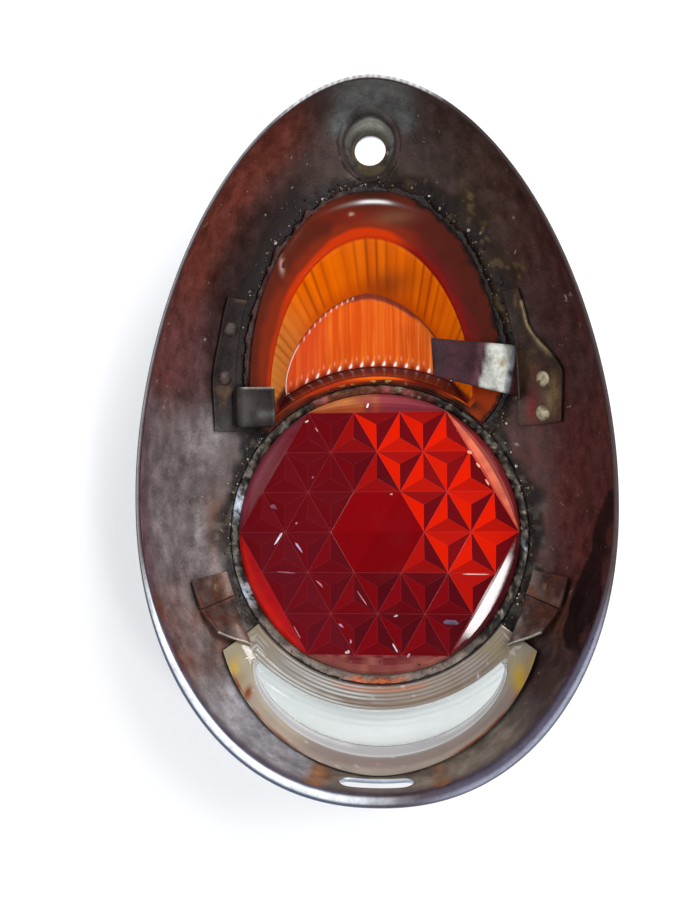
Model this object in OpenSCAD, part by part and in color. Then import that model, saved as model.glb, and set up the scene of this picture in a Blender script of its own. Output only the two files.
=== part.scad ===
// Rear lamp cover with its three lenses, lying on its front, open back upwards.
// X runs across the cover, +Y towards the narrow crown, +Z out of the open back.

/* [Cover] */
// Width across the rim
cover_w = 98; // [90:1:110]
// Length of the rim from crown to foot
cover_l = 151.2; // [145:0.2:160]
// Distance from the crown to the widest place
crown_l = 87.1; // [82:0.1:92]
// Height from the lens front to the rim
cover_h = 34.5; // [32:0.5:42]
// Thickness of the pressed sheet
sheet_t = 0.9; // [0.7:0.1:1.1]
// Width of the rolled lip at the crown
lip_crown = 1.1; // [1.1:0.1:1.6]
// Width of the rolled lip at the foot
lip_foot = 2.8; // [1.8:0.1:3.4]

/* [Screw seat and slot] */
// Bore for the fixing screw
screw_bore = 7.2; // [6.4:0.1:7.8]
// Distance from the crown to the screw axis
screw_y = 9; // [8:0.1:11]
// Width of the flat land round the screw bore
screw_land = 0.8; // [0.7:0.1:1.2]
// Reach of the conical pocket beyond its land
pocket_flare = 1.2; // [0.8:0.1:1.6]
// Length of the hook slot in the foot
slot_l = 15.2; // [12:0.2:20]
// Height of the hook slot
slot_h = 4.6; // [4.2:0.1:5.2]
// Height of the middle of the slot
slot_z = 27.6; // [27:0.2:28]

/* [Red lens] */
// Distance of the red lens centre below the middle of the cover
red_drop = 21.5; // [20:0.1:23]
// Radius of the back of the red lens
red_r = 32.6; // [31:0.1:33.5]
// Height of the patterned back of the red lens
red_back = 8.5; // [7.5:0.1:9]
// Thickness of the red lens flange
red_flange = 2.6; // [2:0.1:3]
// Width of the shell ledge under the red flange
red_ledge = 3; // [2:0.1:4]
// Height of the pyramids on the back
prism_h = 1.6; // [0.8:0.1:2.2]
// Depth of the bevels outside the patterned hexagon
bevel_drop = 1.7; // [0.8:0.1:2.2]
// Turn of the pattern in its seat
pattern_turn = -0.5; // [-5:0.5:5]

/* [Amber lens] */
// Half width of the amber flange
amber_w = 29.3; // [28:0.1:29.8]
// Distance from the red lens centre to the top of the amber flange
amber_top = 78.5; // [76:0.1:80]
// Width of the amber flange at its sides
amber_rim_side = 4.6; // [4:0.1:5.2]
// Width of the amber flange at its top
amber_rim_top = 9; // [8:0.1:10]
// Width of the amber flange along the red lens
amber_rim_foot = 1.4; // [1.2:0.1:2]
// Height of the inside of the amber face
amber_face = 2.9; // [2.9:0.1:3.6]
// Number of flutes on the amber face
flute_count = 15; // [9:1:31]

/* [Clear lens] */
// Half angle that the clear flange spans round the red lens
clear_span = 53; // [50:1:55]
// Half angle that the clear window spans
clear_window = 44.5; // [40:0.5:47]
// Width of the clear flange along the red lens
clear_rim = 5; // [4:0.1:5.6]
// Radius of the outer edge of the clear flange about its own centre
clear_outer = 36.8; // [36.4:0.1:37]
// Width of the clear flange at its lowest place
clear_edge = 2.1; // [1.8:0.1:3]
// Distance from the clear flange to the foot of the rim
clear_gap = 4; // [3.6:0.1:4.6]
// Depth of the clear cup below its flange
clear_cup = 4; // [3:0.1:5]

/* [Glass and seals] */
// Thickness of the lens flanges
flange_t = 2.2; // [1.8:0.1:2.4]
// Thickness of the lens walls
wall_t = 2.2; // [1.8:0.1:2.4]
// Thickness of the seal under a flange
seal_t = 0.6; // [0.4:0.05:0.8]
// Width of the seal beside a flange
seal_w = 2; // [1.4:0.1:2.2]

/* [Clips] */
// Thickness of the clip steel
clip_t = 0.7; // [0.5:0.05:0.8]
// Length of the upper left tongue
left_tongue_l = 9; // [7:0.5:9.5]
// Length of the upper right tongue
right_tongue_l = 19; // [15:0.5:19]
// Width of the upper tongues at the root
tongue_w = 9.4; // [8:0.2:10]
// Width of the lower tongues, measured along the wall
low_tongue_w = 11; // [9.6:0.2:11.6]
// Length of the lower tongues at their outer edge
low_tongue_l = 6.4; // [5.4:0.2:6.8]
// Diameter of a weld through a strap
weld_d = 2.6; // [2:0.1:3]

/* [Hidden] */

half_w = cover_w / 2;
egg_y = cover_l / 2 - crown_l;
foot_l = cover_l - crown_l;
crown_power = 1.86;
foot_power = 2.2;
red_y = -red_drop;

slip = 0.15;
lay = 0.35;
seal_cut = 2.2;
bead_h = 1.7;
clear_bead = 0.3;
clear_lay = lay + 0.2;
seal_room = 0.1;
free_gap = 0.35;

// The round seat of the red lens, pressed into the front of the shell
seat_gap = 0.15;
seat_side = 1.4;
seat_r = red_r + seat_gap + seat_side + slip;
seat_z = red_back - red_flange - seal_t - slip;
step_r = seat_r + 0.9;
step_z = red_back - 0.8;

sectors = 96;
wall_rows = 11;
lip_rows = 5;

// Signed power, which draws the two half ovals of the egg
function spow(v, p) = sign(v) * pow(abs(v), p);
function egg(t) = let (s = sin(t), up = s >= 0)
    [half_w * spow(cos(t), 2 / (up ? crown_power : foot_power)),
     egg_y + (up ? crown_l : foot_l) * spow(s, 2 / (up ? crown_power : foot_power))];
function inside(x, y) = let (up = y >= egg_y)
    pow(abs(x) / half_w, up ? crown_power : foot_power)
    + pow(abs(y - egg_y) / (up ? crown_l : foot_l), up ? crown_power : foot_power) < 1;

// Distance from the red lens centre to the rim along a direction
function reach(a, low = 0, high = 200, n = 0) = n > 20 ? (low + high) / 2 :
    let (mid = (low + high) / 2)
    inside(mid * cos(a), red_y + mid * sin(a)) ? reach(a, mid, high, n + 1)
                                               : reach(a, low, mid, n + 1);
function smooth(v) = let (c = min(1, max(0, v))) c * c * (3 - 2 * c);

// Lip width grows over the lower third of the rim
lip_start = 8;
lip_grow = 42;
function lip_at(y) = lip_crown + (lip_foot - lip_crown) * smooth((egg_y - lip_start - y) / lip_grow);
// The wall is drawn squarer at the foot and the crown than at the sides
function wall_power(a) = 2 + 0.8 * smooth(-sin(a) * 1.6 - 0.4) + 0.5 * smooth(sin(a) * 2.5 - 1.5);
function wall_top(lip) = cover_h - lip / 2;

// Height of the inner face of the shell at a distance from the red lens centre
function wall_z(r, a, rim) =
    let (lip = lip_at(red_y + rim * sin(a)),
         f = min(1, max(0, (r - step_r) / (rim - lip - step_r))))
    step_z + (wall_top(lip) - step_z) * (1 - sqrt(1 - pow(f, wall_power(a))));
function surf(x, y) = let (a = atan2(y - red_y, x)) wall_z(norm([x, y - red_y]), a, reach(a));
// Slope of that face, the direction square to it, and a point at a height over it
function tilt(x, y) = let (d = 0.25)
    [surf(x + d, y) - surf(x - d, y), surf(x, y + d) - surf(x, y - d)] / (2 * d);
function square_to(x, y) = let (g = tilt(x, y), v = [-g[0], -g[1], 1]) v / norm(v);
function raised(q, h) = [q[0], q[1], surf(q[0], q[1])] + square_to(q[0], q[1]) * h;

// One section of the shell, from the red window out to the lip and back
function wall_pair(j, a, rim) =
    let (lip = lip_at(red_y + rim * sin(a)), p = wall_power(a), th = 90 * j / wall_rows,
         run = rim - lip - step_r, rise = wall_top(lip) - step_z,
         ds = j == 0 ? 1 : run * (2 / p) * pow(sin(th), 2 / p - 1) * cos(th),
         dz = j == 0 ? 0 : rise * sin(th), n = norm([ds, dz]),
         s = step_r + run * pow(sin(th), 2 / p), z = step_z + rise * (1 - cos(th)))
    [[s, z], j == wall_rows ? [s + sheet_t, cover_h - lip - 0.3]
                            : [s + sheet_t * dz / n, z - sheet_t * ds / n]];
function lip_point(k, rim, lip) =
    let (a = 180 - 45 * k, c = rim - lip / 2)
    [max(k > 3 ? rim - lip + sheet_t : 0, c + lip / 2 * cos(a)), wall_top(lip) + lip / 2 * sin(a)];
function section(t) =
    let (e = egg(t), d = e - [0, red_y], a = atan2(d[1], d[0]), rim = norm(d), lip = lip_at(e[1]),
         pairs = [for (j = [0:wall_rows]) wall_pair(j, a, rim)],
         loop = concat([[red_r - red_ledge - 2, seat_z], [seat_r, seat_z], [seat_r + 0.2, step_z - 0.5]],
             [for (j = [0:wall_rows]) pairs[j][0]],
             [for (k = [1:lip_rows + 1]) lip_point(k, rim, lip)],
             [for (j = [wall_rows:-1:0]) pairs[j][1]],
             [[seat_r + sheet_t, seat_z - sheet_t + 0.9], [seat_r + sheet_t - 0.5, seat_z - sheet_t],
              [red_r - red_ledge - 2, seat_z - sheet_t]]))
    [for (q = loop) [q[0] * cos(a), red_y + q[0] * sin(a), q[1]]];

// Triangles between rings of n points; a closed band joins its last ring to its first
function band(n, m, closed, turned = false) = [for (k = [0:closed ? m - 1 : m - 2]) for (i = [0:n - 1])
    let (k1 = (k + 1) % m, i1 = (i + 1) % n, a = k * n + i, b = k * n + i1, c = k1 * n + i1, d = k1 * n + i)
    each (turned ? [[a, b, d], [b, c, d]] : [[a, b, c], [a, c, d]])];
// Strips across a loop whose first half faces its second half
function cap(n, start, up) = [for (i = [0:n / 2 - 2])
    let (a = start + i, b = start + i + 1, c = start + n - 2 - i, d = start + n - 1 - i)
    each (up ? [[a, d, c], [a, c, b]] : [[a, c, d], [a, b, c]])];

module ring_solid(rings, turned = false) {
    n = len(rings[0]);
    polyhedron(points = [for (r = rings) each r], faces = band(n, len(rings), true, turned));
}
// A moulded cup: rings run from the middle of the inner face out over the flange and back
module cup_solid(rings) {
    n = len(rings[0]);
    m = len(rings);
    polyhedron(points = [for (r = rings) each r],
        faces = concat(band(n, m, false), cap(n, 0, true), cap(n, (m - 1) * n, false)));
}

// Shell
screw_axis = [0, cover_l / 2 - screw_y];
land_r = screw_bore / 2 + screw_land;
land_z = surf(0, screw_axis[1] - land_r) + 0.3;
pocket_r = land_r + pocket_flare;
flare_h = 2.5;
pocket_deep = 12;
trim_cells = 14;
trim_half = pocket_r + 1.9;

module pocket_cone(grow) {
    translate([screw_axis[0], screw_axis[1], land_z - grow]) {
        cylinder(h = flare_h, r1 = land_r + grow * 0.8, r2 = pocket_r + grow * 0.9, $fn = 64);
        translate([0, 0, flare_h]) cylinder(h = pocket_deep, r = pocket_r + grow * 0.9, $fn = 64);
    }
}

// Space over the inner face round the screw axis
module pocket_trim() {
    spots = [for (j = [0:trim_cells]) for (i = [0:trim_cells])
        let (x = trim_half * (2 * i / trim_cells - 1),
             y = screw_axis[1] + trim_half * (2 * j / trim_cells - 1))
        [x, y, surf(x, y) + 0.05]];
    patch_solid([for (q = spots) q + [0, 0, cover_h]], spots, trim_cells + 1, trim_cells + 1);
}
module pocket_sheet() {
    difference() {
        pocket_cone(sheet_t);
        pocket_trim();
    }
}

module window_prism(outline) {
    linear_extrude(height = cover_h) polygon(outline);
}

module bezel_shell() {
    sections = [for (i = [0:sectors - 1]) section(360 * i / sectors)];
    rows = len(sections[0]);
    rings = [for (k = [0:rows - 1]) [for (i = [0:sectors - 1]) sections[i][k]]];
    color([0.42, 0.36, 0.35]) difference() {
        union() {
            ring_solid(rings);
            pocket_sheet();
        }
        pocket_cone(0);
        translate([screw_axis[0], screw_axis[1], 0]) cylinder(h = cover_h, d = screw_bore, $fn = 64);
        translate([0, red_y, -1]) cylinder(h = seat_z + 2, r = red_r - red_ledge, $fn = 96);
        window_prism(amber_window());
        window_prism(clear_window_outline());
        hook_slot();
    }
}

module hook_slot() {
    x = slot_l / 2 - slot_h / 2;
    for (side = [-1, 1])
        translate([side * x, -cover_l / 2 - 5, slot_z]) rotate([-90, 0, 0])
            cylinder(h = 15, d = slot_h, $fn = 32);
    translate([-x, -cover_l / 2 - 5, slot_z - slot_h / 2]) cube([2 * x, 15, slot_h]);
}

// Amber lens: an arch whose foot follows the red lens
amber_n = 80;
amber_foot_r = seat_r + 0.3;
face_side = 4.4;
face_top = 11.3;
face_foot = 4;
face_turn = 8;
face_shift = -2;
face_power = 1.7;
ear_angle = 33;

function foot_arc(x, r) = red_y + sqrt(r * r - x * x);
// A loop: foot arc from left to right, then the arch back from right to left
function arch(w, top, r, mid, n = amber_n, turn = ear_angle, shift = 0, power = 2) =
    let (end = w * spow(cos(turn), 2 / power))
    concat([for (i = [0:n]) let (x = end * sin(90 * (2 * i / n - 1)) + shift) [x, foot_arc(x, r)]],
        [for (i = [0:n])
            let (a = -turn + (180 + 2 * turn) * i / n, s = sin(a),
                 ear = (mid - foot_arc(sign(cos(a)) * end + shift, r) - 0.3) / sin(turn))
            [w * spow(cos(a), 2 / power) + shift,
             mid + (s >= 0 ? (top - mid) * spow(s, 2 / power) : ear * s)]]);
amber_waist = 33.5;
amber_mid = red_y + amber_waist;
amber_y = red_y + amber_top;
face_half = amber_w - amber_rim_side - face_side;
face_foot_r = amber_foot_r + amber_rim_foot + face_foot;
face_mid = foot_arc(face_half + face_shift, face_foot_r) + 0.4;
function amber_outer(grow = 0) =
    arch(amber_w + grow, amber_y + grow, amber_foot_r - min(grow, 0) * 0.4, amber_mid);
function amber_cavity(grow = 0) =
    arch(amber_w - amber_rim_side + grow, amber_y - amber_rim_top + grow,
         amber_foot_r + amber_rim_foot - grow * 0.5, amber_mid + 2);
function amber_face_loop(grow = 0) =
    arch(face_half + grow, amber_y - amber_rim_top - face_top + grow, face_foot_r - grow,
         face_mid, amber_n, face_turn, face_shift, face_power);
function amber_window() = arch(amber_w - amber_rim_side + 1.2, amber_y - amber_rim_top + 1.2,
    amber_foot_r + 1, amber_mid + 2, 40);
function lift(loop, up) = [for (q = loop) [q[0], q[1], surf(q[0], q[1]) + up]];
function flat_at(loop, z) = [for (q = loop) [q[0], q[1], z]];
function mix(a, b, f) = [for (i = [0:len(a) - 1]) a[i] * (1 - f) + b[i] * f];

module amber_flutes() {
    pitch = 2 * face_half / flute_count;
    r = pitch * 0.66;
    sink = r - sqrt(r * r - pitch * pitch / 4);
    rise = amber_y - amber_rim_top - face_top - face_mid;
    over = 0.4;
    for (i = [1:flute_count - 2]) {
        x = -face_half + pitch * (i + 0.5);
        y0 = foot_arc(x + face_shift, face_foot_r) - over;
        y1 = face_mid + rise * pow(1 - pow(abs(x / face_half), face_power), 1 / face_power) + over;
        translate([x + face_shift, y0, amber_face + r - sink]) rotate([-90, 0, 0])
            cylinder(h = y1 - y0, r = r, $fn = 24);
    }
}

module amber_lens() {
    base = lay + seal_t + seal_room;
    face = flat_at(amber_face_loop(), amber_face);
    cavity = lift(amber_cavity(), base + flange_t);
    outer_top = lift(amber_outer(), base + flange_t);
    outer_low = lift(amber_outer(), base);
    cavity_low = lift(amber_cavity(wall_t * 0.4), base);
    mid_top = lift(mix(amber_cavity(), amber_outer(), 0.5), base + flange_t);
    mid_low = lift(mix(amber_cavity(seal_cut), amber_outer(), 0.5), base);
    face_low = flat_at(amber_face_loop(wall_t * 0.7), amber_face - wall_t);
    color([0.95, 0.42, 0.05]) difference() {
        cup_solid([face, mix(face, cavity, 0.5), cavity, mid_top, outer_top,
            outer_low, mid_low, cavity_low, face_low]);
        amber_flutes();
    }
}

// Red lens: a round moulding, patterned with pyramids on its back
pattern_margin = 0.3;
pattern_step = 0.05;
pattern_root = 2;
cell = (red_r - pattern_margin) / 3;
front_gap = 0.4;
front_r = red_r - red_ledge - front_gap;
front_round = 5;

// Corners of the triangular grid, three cells out from the middle, counted row by row
function grid_point(i, j, z) = [cell * (i + j / 2), cell * j * sqrt(3) / 2, z];
function in_hex(i, j) = abs(i) <= 3 && abs(j) <= 3 && abs(i + j) <= 3;
function near(i, j) = abs(i) <= 1 && abs(j) <= 1 && abs(i + j) <= 1;
function is_plain(q) = near(q[0][0], q[0][1]) && near(q[1][0], q[1][1]) && near(q[2][0], q[2][1]);
function row_start(i) = i <= -3 ? 0 : row_start(i - 1) + 7 - abs(i - 1);
function spot(i, j) = row_start(i) + j - max(-3, -3 - i);
function rim_spots() = concat([for (k = [0:2]) [3 - k, k]], [for (k = [0:2]) [-k, 3]],
    [for (k = [0:2]) [-3, 3 - k]], [for (k = [0:2]) [k - 3, -k]], [for (k = [0:2]) [k, -3]],
    [for (k = [0:2]) [3, k - 3]]);

// A hexagonal block whose top is a field of pyramids round a plain hexagon
module pyramids() {
    cells = [for (i = [-3:2]) for (j = [-3:3]) each [
        if (in_hex(i, j) && in_hex(i + 1, j) && in_hex(i, j + 1)) [[i, j], [i + 1, j], [i, j + 1]],
        if (in_hex(i, j) && in_hex(i + 1, j) && in_hex(i + 1, j - 1)) [[i, j], [i + 1, j - 1], [i + 1, j]]]];
    plain = [for (q = cells) if (is_plain(q)) q];
    raised_cells = [for (q = cells) if (!is_plain(q)) q];
    top = [for (i = [-3:3]) for (j = [-3:3]) if (in_hex(i, j)) grid_point(i, j, red_back)];
    rim = rim_spots();
    n = len(rim);
    first_low = len(top);
    first_tip = first_low + n;
    low = [for (q = rim) grid_point(q[0], q[1], red_back - pattern_root)];
    tips = [for (q = raised_cells)
        (grid_point(q[0][0], q[0][1], red_back) + grid_point(q[1][0], q[1][1], red_back)
            + grid_point(q[2][0], q[2][1], red_back)) / 3 + [0, 0, prism_h]];
    polyhedron(points = concat(top, low, tips), faces = concat(
        [for (q = plain) [spot(q[2][0], q[2][1]), spot(q[1][0], q[1][1]), spot(q[0][0], q[0][1])]],
        [for (c = [0:len(raised_cells) - 1]) for (k = [0:2])
            let (q = raised_cells[c], a = q[k], b = q[(k + 1) % 3])
            [spot(b[0], b[1]), spot(a[0], a[1]), first_tip + c]],
        [for (k = [0:n - 1]) let (a = rim[k], b = rim[(k + 1) % n])
            [spot(a[0], a[1]), spot(b[0], b[1]), first_low + (k + 1) % n, first_low + k]],
        [[for (k = [0:n - 1]) first_low + k]]));
}

module red_body() {
    back = red_back - pattern_step;
    rotate_extrude($fn = 96) polygon(concat(
        [[0, back], [0, 0]],
        [for (a = [0:15:90]) [front_r - front_round + front_round * sin(a), front_round * (1 - cos(a))]],
        [[front_r, seat_z + seal_t + slip], [red_r, seat_z + seal_t + slip], [red_r, back]]));
}

module red_lens() {
    side = cell * 3 * cos(30);
    color([0.75, 0.03, 0.02]) translate([0, red_y, 0]) rotate(pattern_turn) union() {
        difference() {
            red_body();
            for (k = [0:5]) rotate(60 * k) translate([0, side - pattern_step, red_back - pattern_step])
                rotate([-atan(bevel_drop / (red_r - side)), 0, 0]) translate([-red_r, 0, 0])
                    cube([2 * red_r, red_r, red_back]);
        }
        pyramids();
    }
}

// Clear lens: a crescent below the red lens
clear_n = 60;
clear_end = 4;
clear_shift = cover_l / 2 - red_drop - clear_gap - clear_outer;
clear_foot_r = seat_r + 0.3;
// Height of the window at its middle, and how far the cup's wall draws in over its depth
clear_rise = clear_shift + clear_outer - clear_edge - clear_rim - clear_foot_r;
clear_draw = 0.13 * clear_rise;
window_slip = 0.9;
// Distance from the red lens centre to a circle drawn about the clear lens centre
function crescent_r(a, r) = let (b = -clear_shift * sin(a)) b + sqrt(b * b - clear_shift * clear_shift + r * r);
function polar(r, a) = [r * cos(a), red_y + r * sin(a)];
function fan(i, span) = 270 + span * sin(90 * (2 * i / clear_n - 1));
function divided(a, b, steps) = [for (k = steps) a + (b - a) * k / (clear_end + 1)];
// A loop of outer points and inner points, with its two ends divided
function crescent(outer, inner) = let (m = len(outer) - 1)
    concat(divided(inner[0], outer[0], [clear_end / 2 + 1:clear_end]), outer,
        divided(inner[m], outer[m], [clear_end:-1:1]), [for (i = [m:-1:0]) inner[i]],
        divided(inner[0], outer[0], [1:clear_end / 2]));
function clear_outer_loop(grow = 0) = let (span = clear_span + grow * 1.3) crescent(
    [for (i = [0:clear_n]) let (a = fan(i, span)) polar(crescent_r(a, clear_outer + grow), a)],
    [for (i = [0:clear_n]) polar(clear_foot_r - grow / 2, fan(i, span))]);
// Window edge: widest at the middle and pointed at both tips
function window_out(a, span, rise) = rise * pow(max(0.02, 1 - pow((a - 270) / span, 2)), 0.55);
function clear_window_loop(shrink = 0) =
    let (span = clear_window - shrink * 1.4, r0 = clear_foot_r + clear_rim + shrink,
         rise = clear_rise - 2 * shrink)
    crescent([for (i = [0:clear_n]) let (a = fan(i, span)) polar(r0 + window_out(a, span, rise), a)],
             [for (i = [0:clear_n]) polar(r0, fan(i, span))]);
function clear_window_outline() = clear_window_loop(-window_slip);

module clear_lens() {
    base = clear_lay + seal_t + seal_room;
    edge = clear_outer_loop();
    cavity = clear_window_loop();
    face = clear_window_loop(clear_draw);
    face_low = clear_window_loop(clear_draw - 0.2);
    cavity_low = clear_window_loop(-0.3);
    color([0.85, 0.86, 0.82]) cup_solid([
        lift(face, base + flange_t - clear_cup), lift(cavity, base + flange_t),
        lift(mix(cavity, edge, 0.5), base + flange_t), lift(edge, base + flange_t), lift(edge, base),
        lift(mix(cavity_low, edge, 0.6), base), lift(cavity_low, base),
        lift(face_low, base - clear_cup)]);
}

// Seals: a bed under each flange, and a bead beside the amber one
seal_share = 0.4;
module seal_ring(outer, edge, inner, low, bead) {
    bed = low + seal_t - 1.5 * slip;
    middle = mix(inner, edge, 0.5);
    color([0.08, 0.07, 0.06]) ring_solid([
        lift(inner, bed), lift(middle, bed), lift(edge, bed),
        lift(edge, bed + bead), lift(outer, bed + bead * 0.7),
        lift(outer, low), lift(middle, low), lift(inner, low)], true);
}
function amber_seal_out() = let (o = amber_outer(seal_w), n = amber_n + 1)
    [for (i = [0:2 * n - 1]) i < n ? [o[i][0], foot_arc(o[i][0], amber_foot_r - slip)] : o[i]];
module amber_seal() {
    seal_ring(amber_seal_out(), amber_outer(slip), amber_cavity(seal_cut), lay, bead_h);
}
module clear_seal() {
    seal_ring(clear_outer_loop(clear_bead), clear_outer_loop(slip),
        mix(clear_window_outline(), clear_outer_loop(), seal_share), clear_lay, 0.3);
}

module red_seal() {
    r = red_r + seat_gap;
    color([0.1, 0.09, 0.08]) translate([0, red_y, seat_z + slip / 2]) rotate_extrude($fn = 96) polygon([
        [red_r - red_ledge + 0.4, 0], [seat_r - slip, 0], [seat_r - slip, red_back - seat_z],
        [r, red_back - seat_z - 0.4], [r, seal_t], [red_r - red_ledge + 0.4, seal_t]]);
}

// Clips: a strap lies on the shell beside a lens, and its tongue bends over the lens flange
strap_low = 2.5;
strap_high = 33;
hinge_gap = 0.3;
strap_clear = 1.8;
weld_sink = 0.1;
upper_left_y = 8.2;
upper_right_y = 14.3;
left_strap_w = [5, 4];
right_strap_w = [9, 3.4];
taper_from = 12;
taper_l = 14;
right_root_w = tongue_w + 2.4;
right_tip_w = tongue_w - 1;
right_skew = 5;

// Sheet that lies at a height above the shell, over a grid of plan points
module shell_patch(grid, low, thick) {
    flat = [for (row = grid) each row];
    patch_solid([for (q = flat) raised(q, low(q) + thick)], [for (q = flat) raised(q, low(q))],
        len(grid), len(grid[0]));
}

// Closed sheet between two grids of m by n points
module patch_solid(tops, lows, m, n) {
    k = m * n;
    edge = concat([for (i = [0:n - 2]) i], [for (j = [0:m - 2]) j * n + n - 1],
        [for (i = [n - 1:-1:1]) (m - 1) * n + i], [for (j = [m - 1:-1:1]) j * n]);
    e = len(edge);
    polyhedron(points = concat(tops, lows), faces = concat(
        [for (j = [0:m - 2]) for (i = [0:n - 2]) let (a = j * n + i)
            each [[a, a + n, a + n + 1], [a, a + n + 1, a + 1],
                  [k + a, k + a + n + 1, k + a + n], [k + a, k + a + 1, k + a + n + 1]]],
        [for (i = [0:e - 1]) let (a = edge[i], b = edge[(i + 1) % e])
            each [[a, b, k + b], [a, k + b, k + a]]]));
}

// Inner edge of an upper strap, just outside the amber seal
function strap_in(y) = let (mid = amber_mid, w = amber_w + seal_w, h = amber_y + seal_w - mid)
    w * (y > mid ? sqrt(1 - pow((y - mid) / h, 2)) : 1) + strap_clear;
// A strap is widest at its foot and tapers above its tongue
function strap_width(side, y) = let (w = side < 0 ? left_strap_w : right_strap_w)
    w[0] + (w[1] - w[0]) * smooth((y - taper_from) / taper_l);
function upper_grid(side) = [for (j = [0:8]) let (y = strap_low + (strap_high - strap_low) * j / 8)
    [for (i = [0:3]) [strap_in(y) + strap_width(side, y) * i / 3, y]]];

// Frame that stands square on the shell at a plan point
module on_shell(x, y) {
    g = tilt(x, y);
    translate([x, y, surf(x, y)]) rotate([0, 0, atan2(-g[1], -g[0])]) rotate([0, atan(norm(g)), 0]) children();
}
module weld_hole(spot) {
    on_shell(spot[0], spot[1]) cylinder(h = 8, d = weld_d + 2 * slip, center = true, $fn = 32);
}
module weld(spot) {
    head = weld_d / 2 + 0.6;
    seat = lay + clip_t + 0.3;
    on_shell(spot[0], spot[1]) rotate_extrude($fn = 32) polygon(concat(
        [[0, -weld_sink], [weld_d / 2, -weld_sink], [weld_d / 2, seat], [head, seat]],
        [for (a = [30:20:90]) [head * cos(a), seat + 0.9 * sin(a) - 0.35]]));
}
function upper_spots(side, ys, f) = [for (y = ys) [side * (strap_in(y) + strap_width(side, y) * f), y]];
left_weld_y = [15, 26];
right_weld_y = [5, 12.4];
left_spots = upper_spots(-1, left_weld_y, 0.5);
right_spots = upper_spots(1, right_weld_y, 0.61);

module welds(spots) {
    color([0.62, 0.58, 0.5]) for (q = spots) weld(q);
}
module upper_left_welds() { welds(left_spots); }
module upper_right_welds() { welds(right_spots); }

// Points along a smooth curve through four guides
function curve(g, n) = [for (i = [0:n]) let (f = i / n, h = 1 - f)
    h * h * h * g[0] + 3 * h * h * f * g[1] + 3 * h * f * f * g[2] + f * f * f * g[3]];
// Outline of a strip of even thickness along a curve
function strip(path, t) = let (m = len(path) - 1,
    normals = [for (i = [0:m]) let (d = path[min(m, i + 1)] - path[max(0, i - 1)]) [-d[1], d[0]] / norm(d)])
    concat([for (i = [0:m]) path[i] + normals[i] * t / 2], [for (i = [m:-1:0]) path[i] - normals[i] * t / 2]);

// Upper tongue: its root line lies along the inner edge of its strap
function root_end(side, y) =
    [side * (strap_in(y) - hinge_gap - clip_t), y, surf(side * strap_in(y), y) + lay + clip_t / 2];
function root_mid(side, y, w) = (root_end(side, y + w / 2) + root_end(side, y - w / 2)) / 2;
function root_run(side, y, w) = root_end(side, y + w / 2) - root_end(side, y - w / 2);
// Height over the root line that clears the amber flange at a distance from the root
function clear_over(side, y, w, u) = let (at = root_mid(side, y, w), run = root_run(side, y, w))
    max([for (k = [-1:0.5:1]) surf(at[0] - side * u, y + k * w / 2) - at[2] - run[2] * k / 2]) + rest_rise;
rest_rise = lay + seal_t + flange_t + free_gap + clip_t / 2 + 0.1;
// Places a child on the root line, its first axis pointing to the middle of the lens
module at_root(side, y, w) {
    run = root_run(side, y, w);
    translate(root_mid(side, y, w)) rotate([0, 0, atan2(-run[0], run[1])])
        rotate([atan(run[2] / norm([run[0], run[1]])), 0, 0]) mirror([side > 0 ? 1 : 0, 0, 0]) children();
}
module bent_sheet(path, w, low = 0) {
    translate([0, w / 2, 0]) rotate([90, 0, 0]) linear_extrude(height = w + low) polygon(strip(path, clip_t));
}
// The strap turns up at its root line and ends in a fold line, where the tongue begins
fold_low = 1.95;
fold_high = 2.35;
function along_shell(side, y, w, u) = let (at = root_mid(side, y, w))
    [u, surf(at[0] - side * u, y) - at[2] + lay + clip_t / 2 + 0.05];
function riser_path(side, y, w) = curve([along_shell(side, y, w, -1.9), along_shell(side, y, w, -1), [0, -0.2],
    [0, fold_low]], 8);
module upper_strap(side, y, w, spots) {
    color([0.36, 0.33, 0.31]) union() {
        difference() {
            mirror([side < 0 ? 1 : 0, 0, 0]) shell_patch(upper_grid(side), function (q) lay, clip_t);
            for (q = spots) weld_hole(q);
        }
        at_root(side, y, w) bent_sheet(riser_path(side, y, w), w);
    }
}
module upper_left_strap() { upper_strap(-1, upper_left_y, tongue_w, left_spots); }
module upper_right_strap() { upper_strap(1, upper_right_y, right_root_w, right_spots); }

module upper_tongue(side, y, root_w, tip_w, path, long, skew = 0) {
    at_root(side, y, root_w) intersection() {
        translate([0, skew, 0]) bent_sheet(path, root_w, skew);
        translate([0, 0, -20]) linear_extrude(height = 50)
            polygon([[-2, -root_w / 2], [long, skew - tip_w / 2], [long, skew + tip_w / 2], [-2, root_w / 2]]);
    }
}
// The left tongue is pressed down on the amber flange; the right one stands open
function left_over(u) = clear_over(-1, upper_left_y, tongue_w, u);
left_bend = 2.4;
left_path = concat(
    curve([[0, fold_high], [0, 3.6], [0.9, left_over(left_bend) + 1],
           [left_bend, left_over(left_bend) + 0.4]], 8),
    [for (k = [1:8]) let (f = k / 8, u = left_bend + (left_tongue_l - left_bend) * f)
        [u, left_over(u) + 0.4 - 0.4 * sin(180 * f) + 1.2 * f * f]]);
right_knee = 0.32 * right_tongue_l;
right_path = concat(curve([[0, fold_high], [0, 4.6], [2.4, 6.6], [right_knee, 6.3]], 8),
    [for (k = [1:8]) let (f = k / 8)
        [right_knee + (0.97 * right_tongue_l - right_knee) * f, 6.3 - 1.6 * f + 1.2 * f * f]]);

module upper_left_tongue() {
    color([0.4, 0.37, 0.35])
        upper_tongue(-1, upper_left_y, tongue_w, tongue_w * 0.96, left_path, left_tongue_l);
}
module upper_right_tongue() {
    color([0.3, 0.24, 0.25])
        upper_tongue(1, upper_right_y, right_root_w, right_tip_w, right_path, right_tongue_l, right_skew);
}

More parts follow.
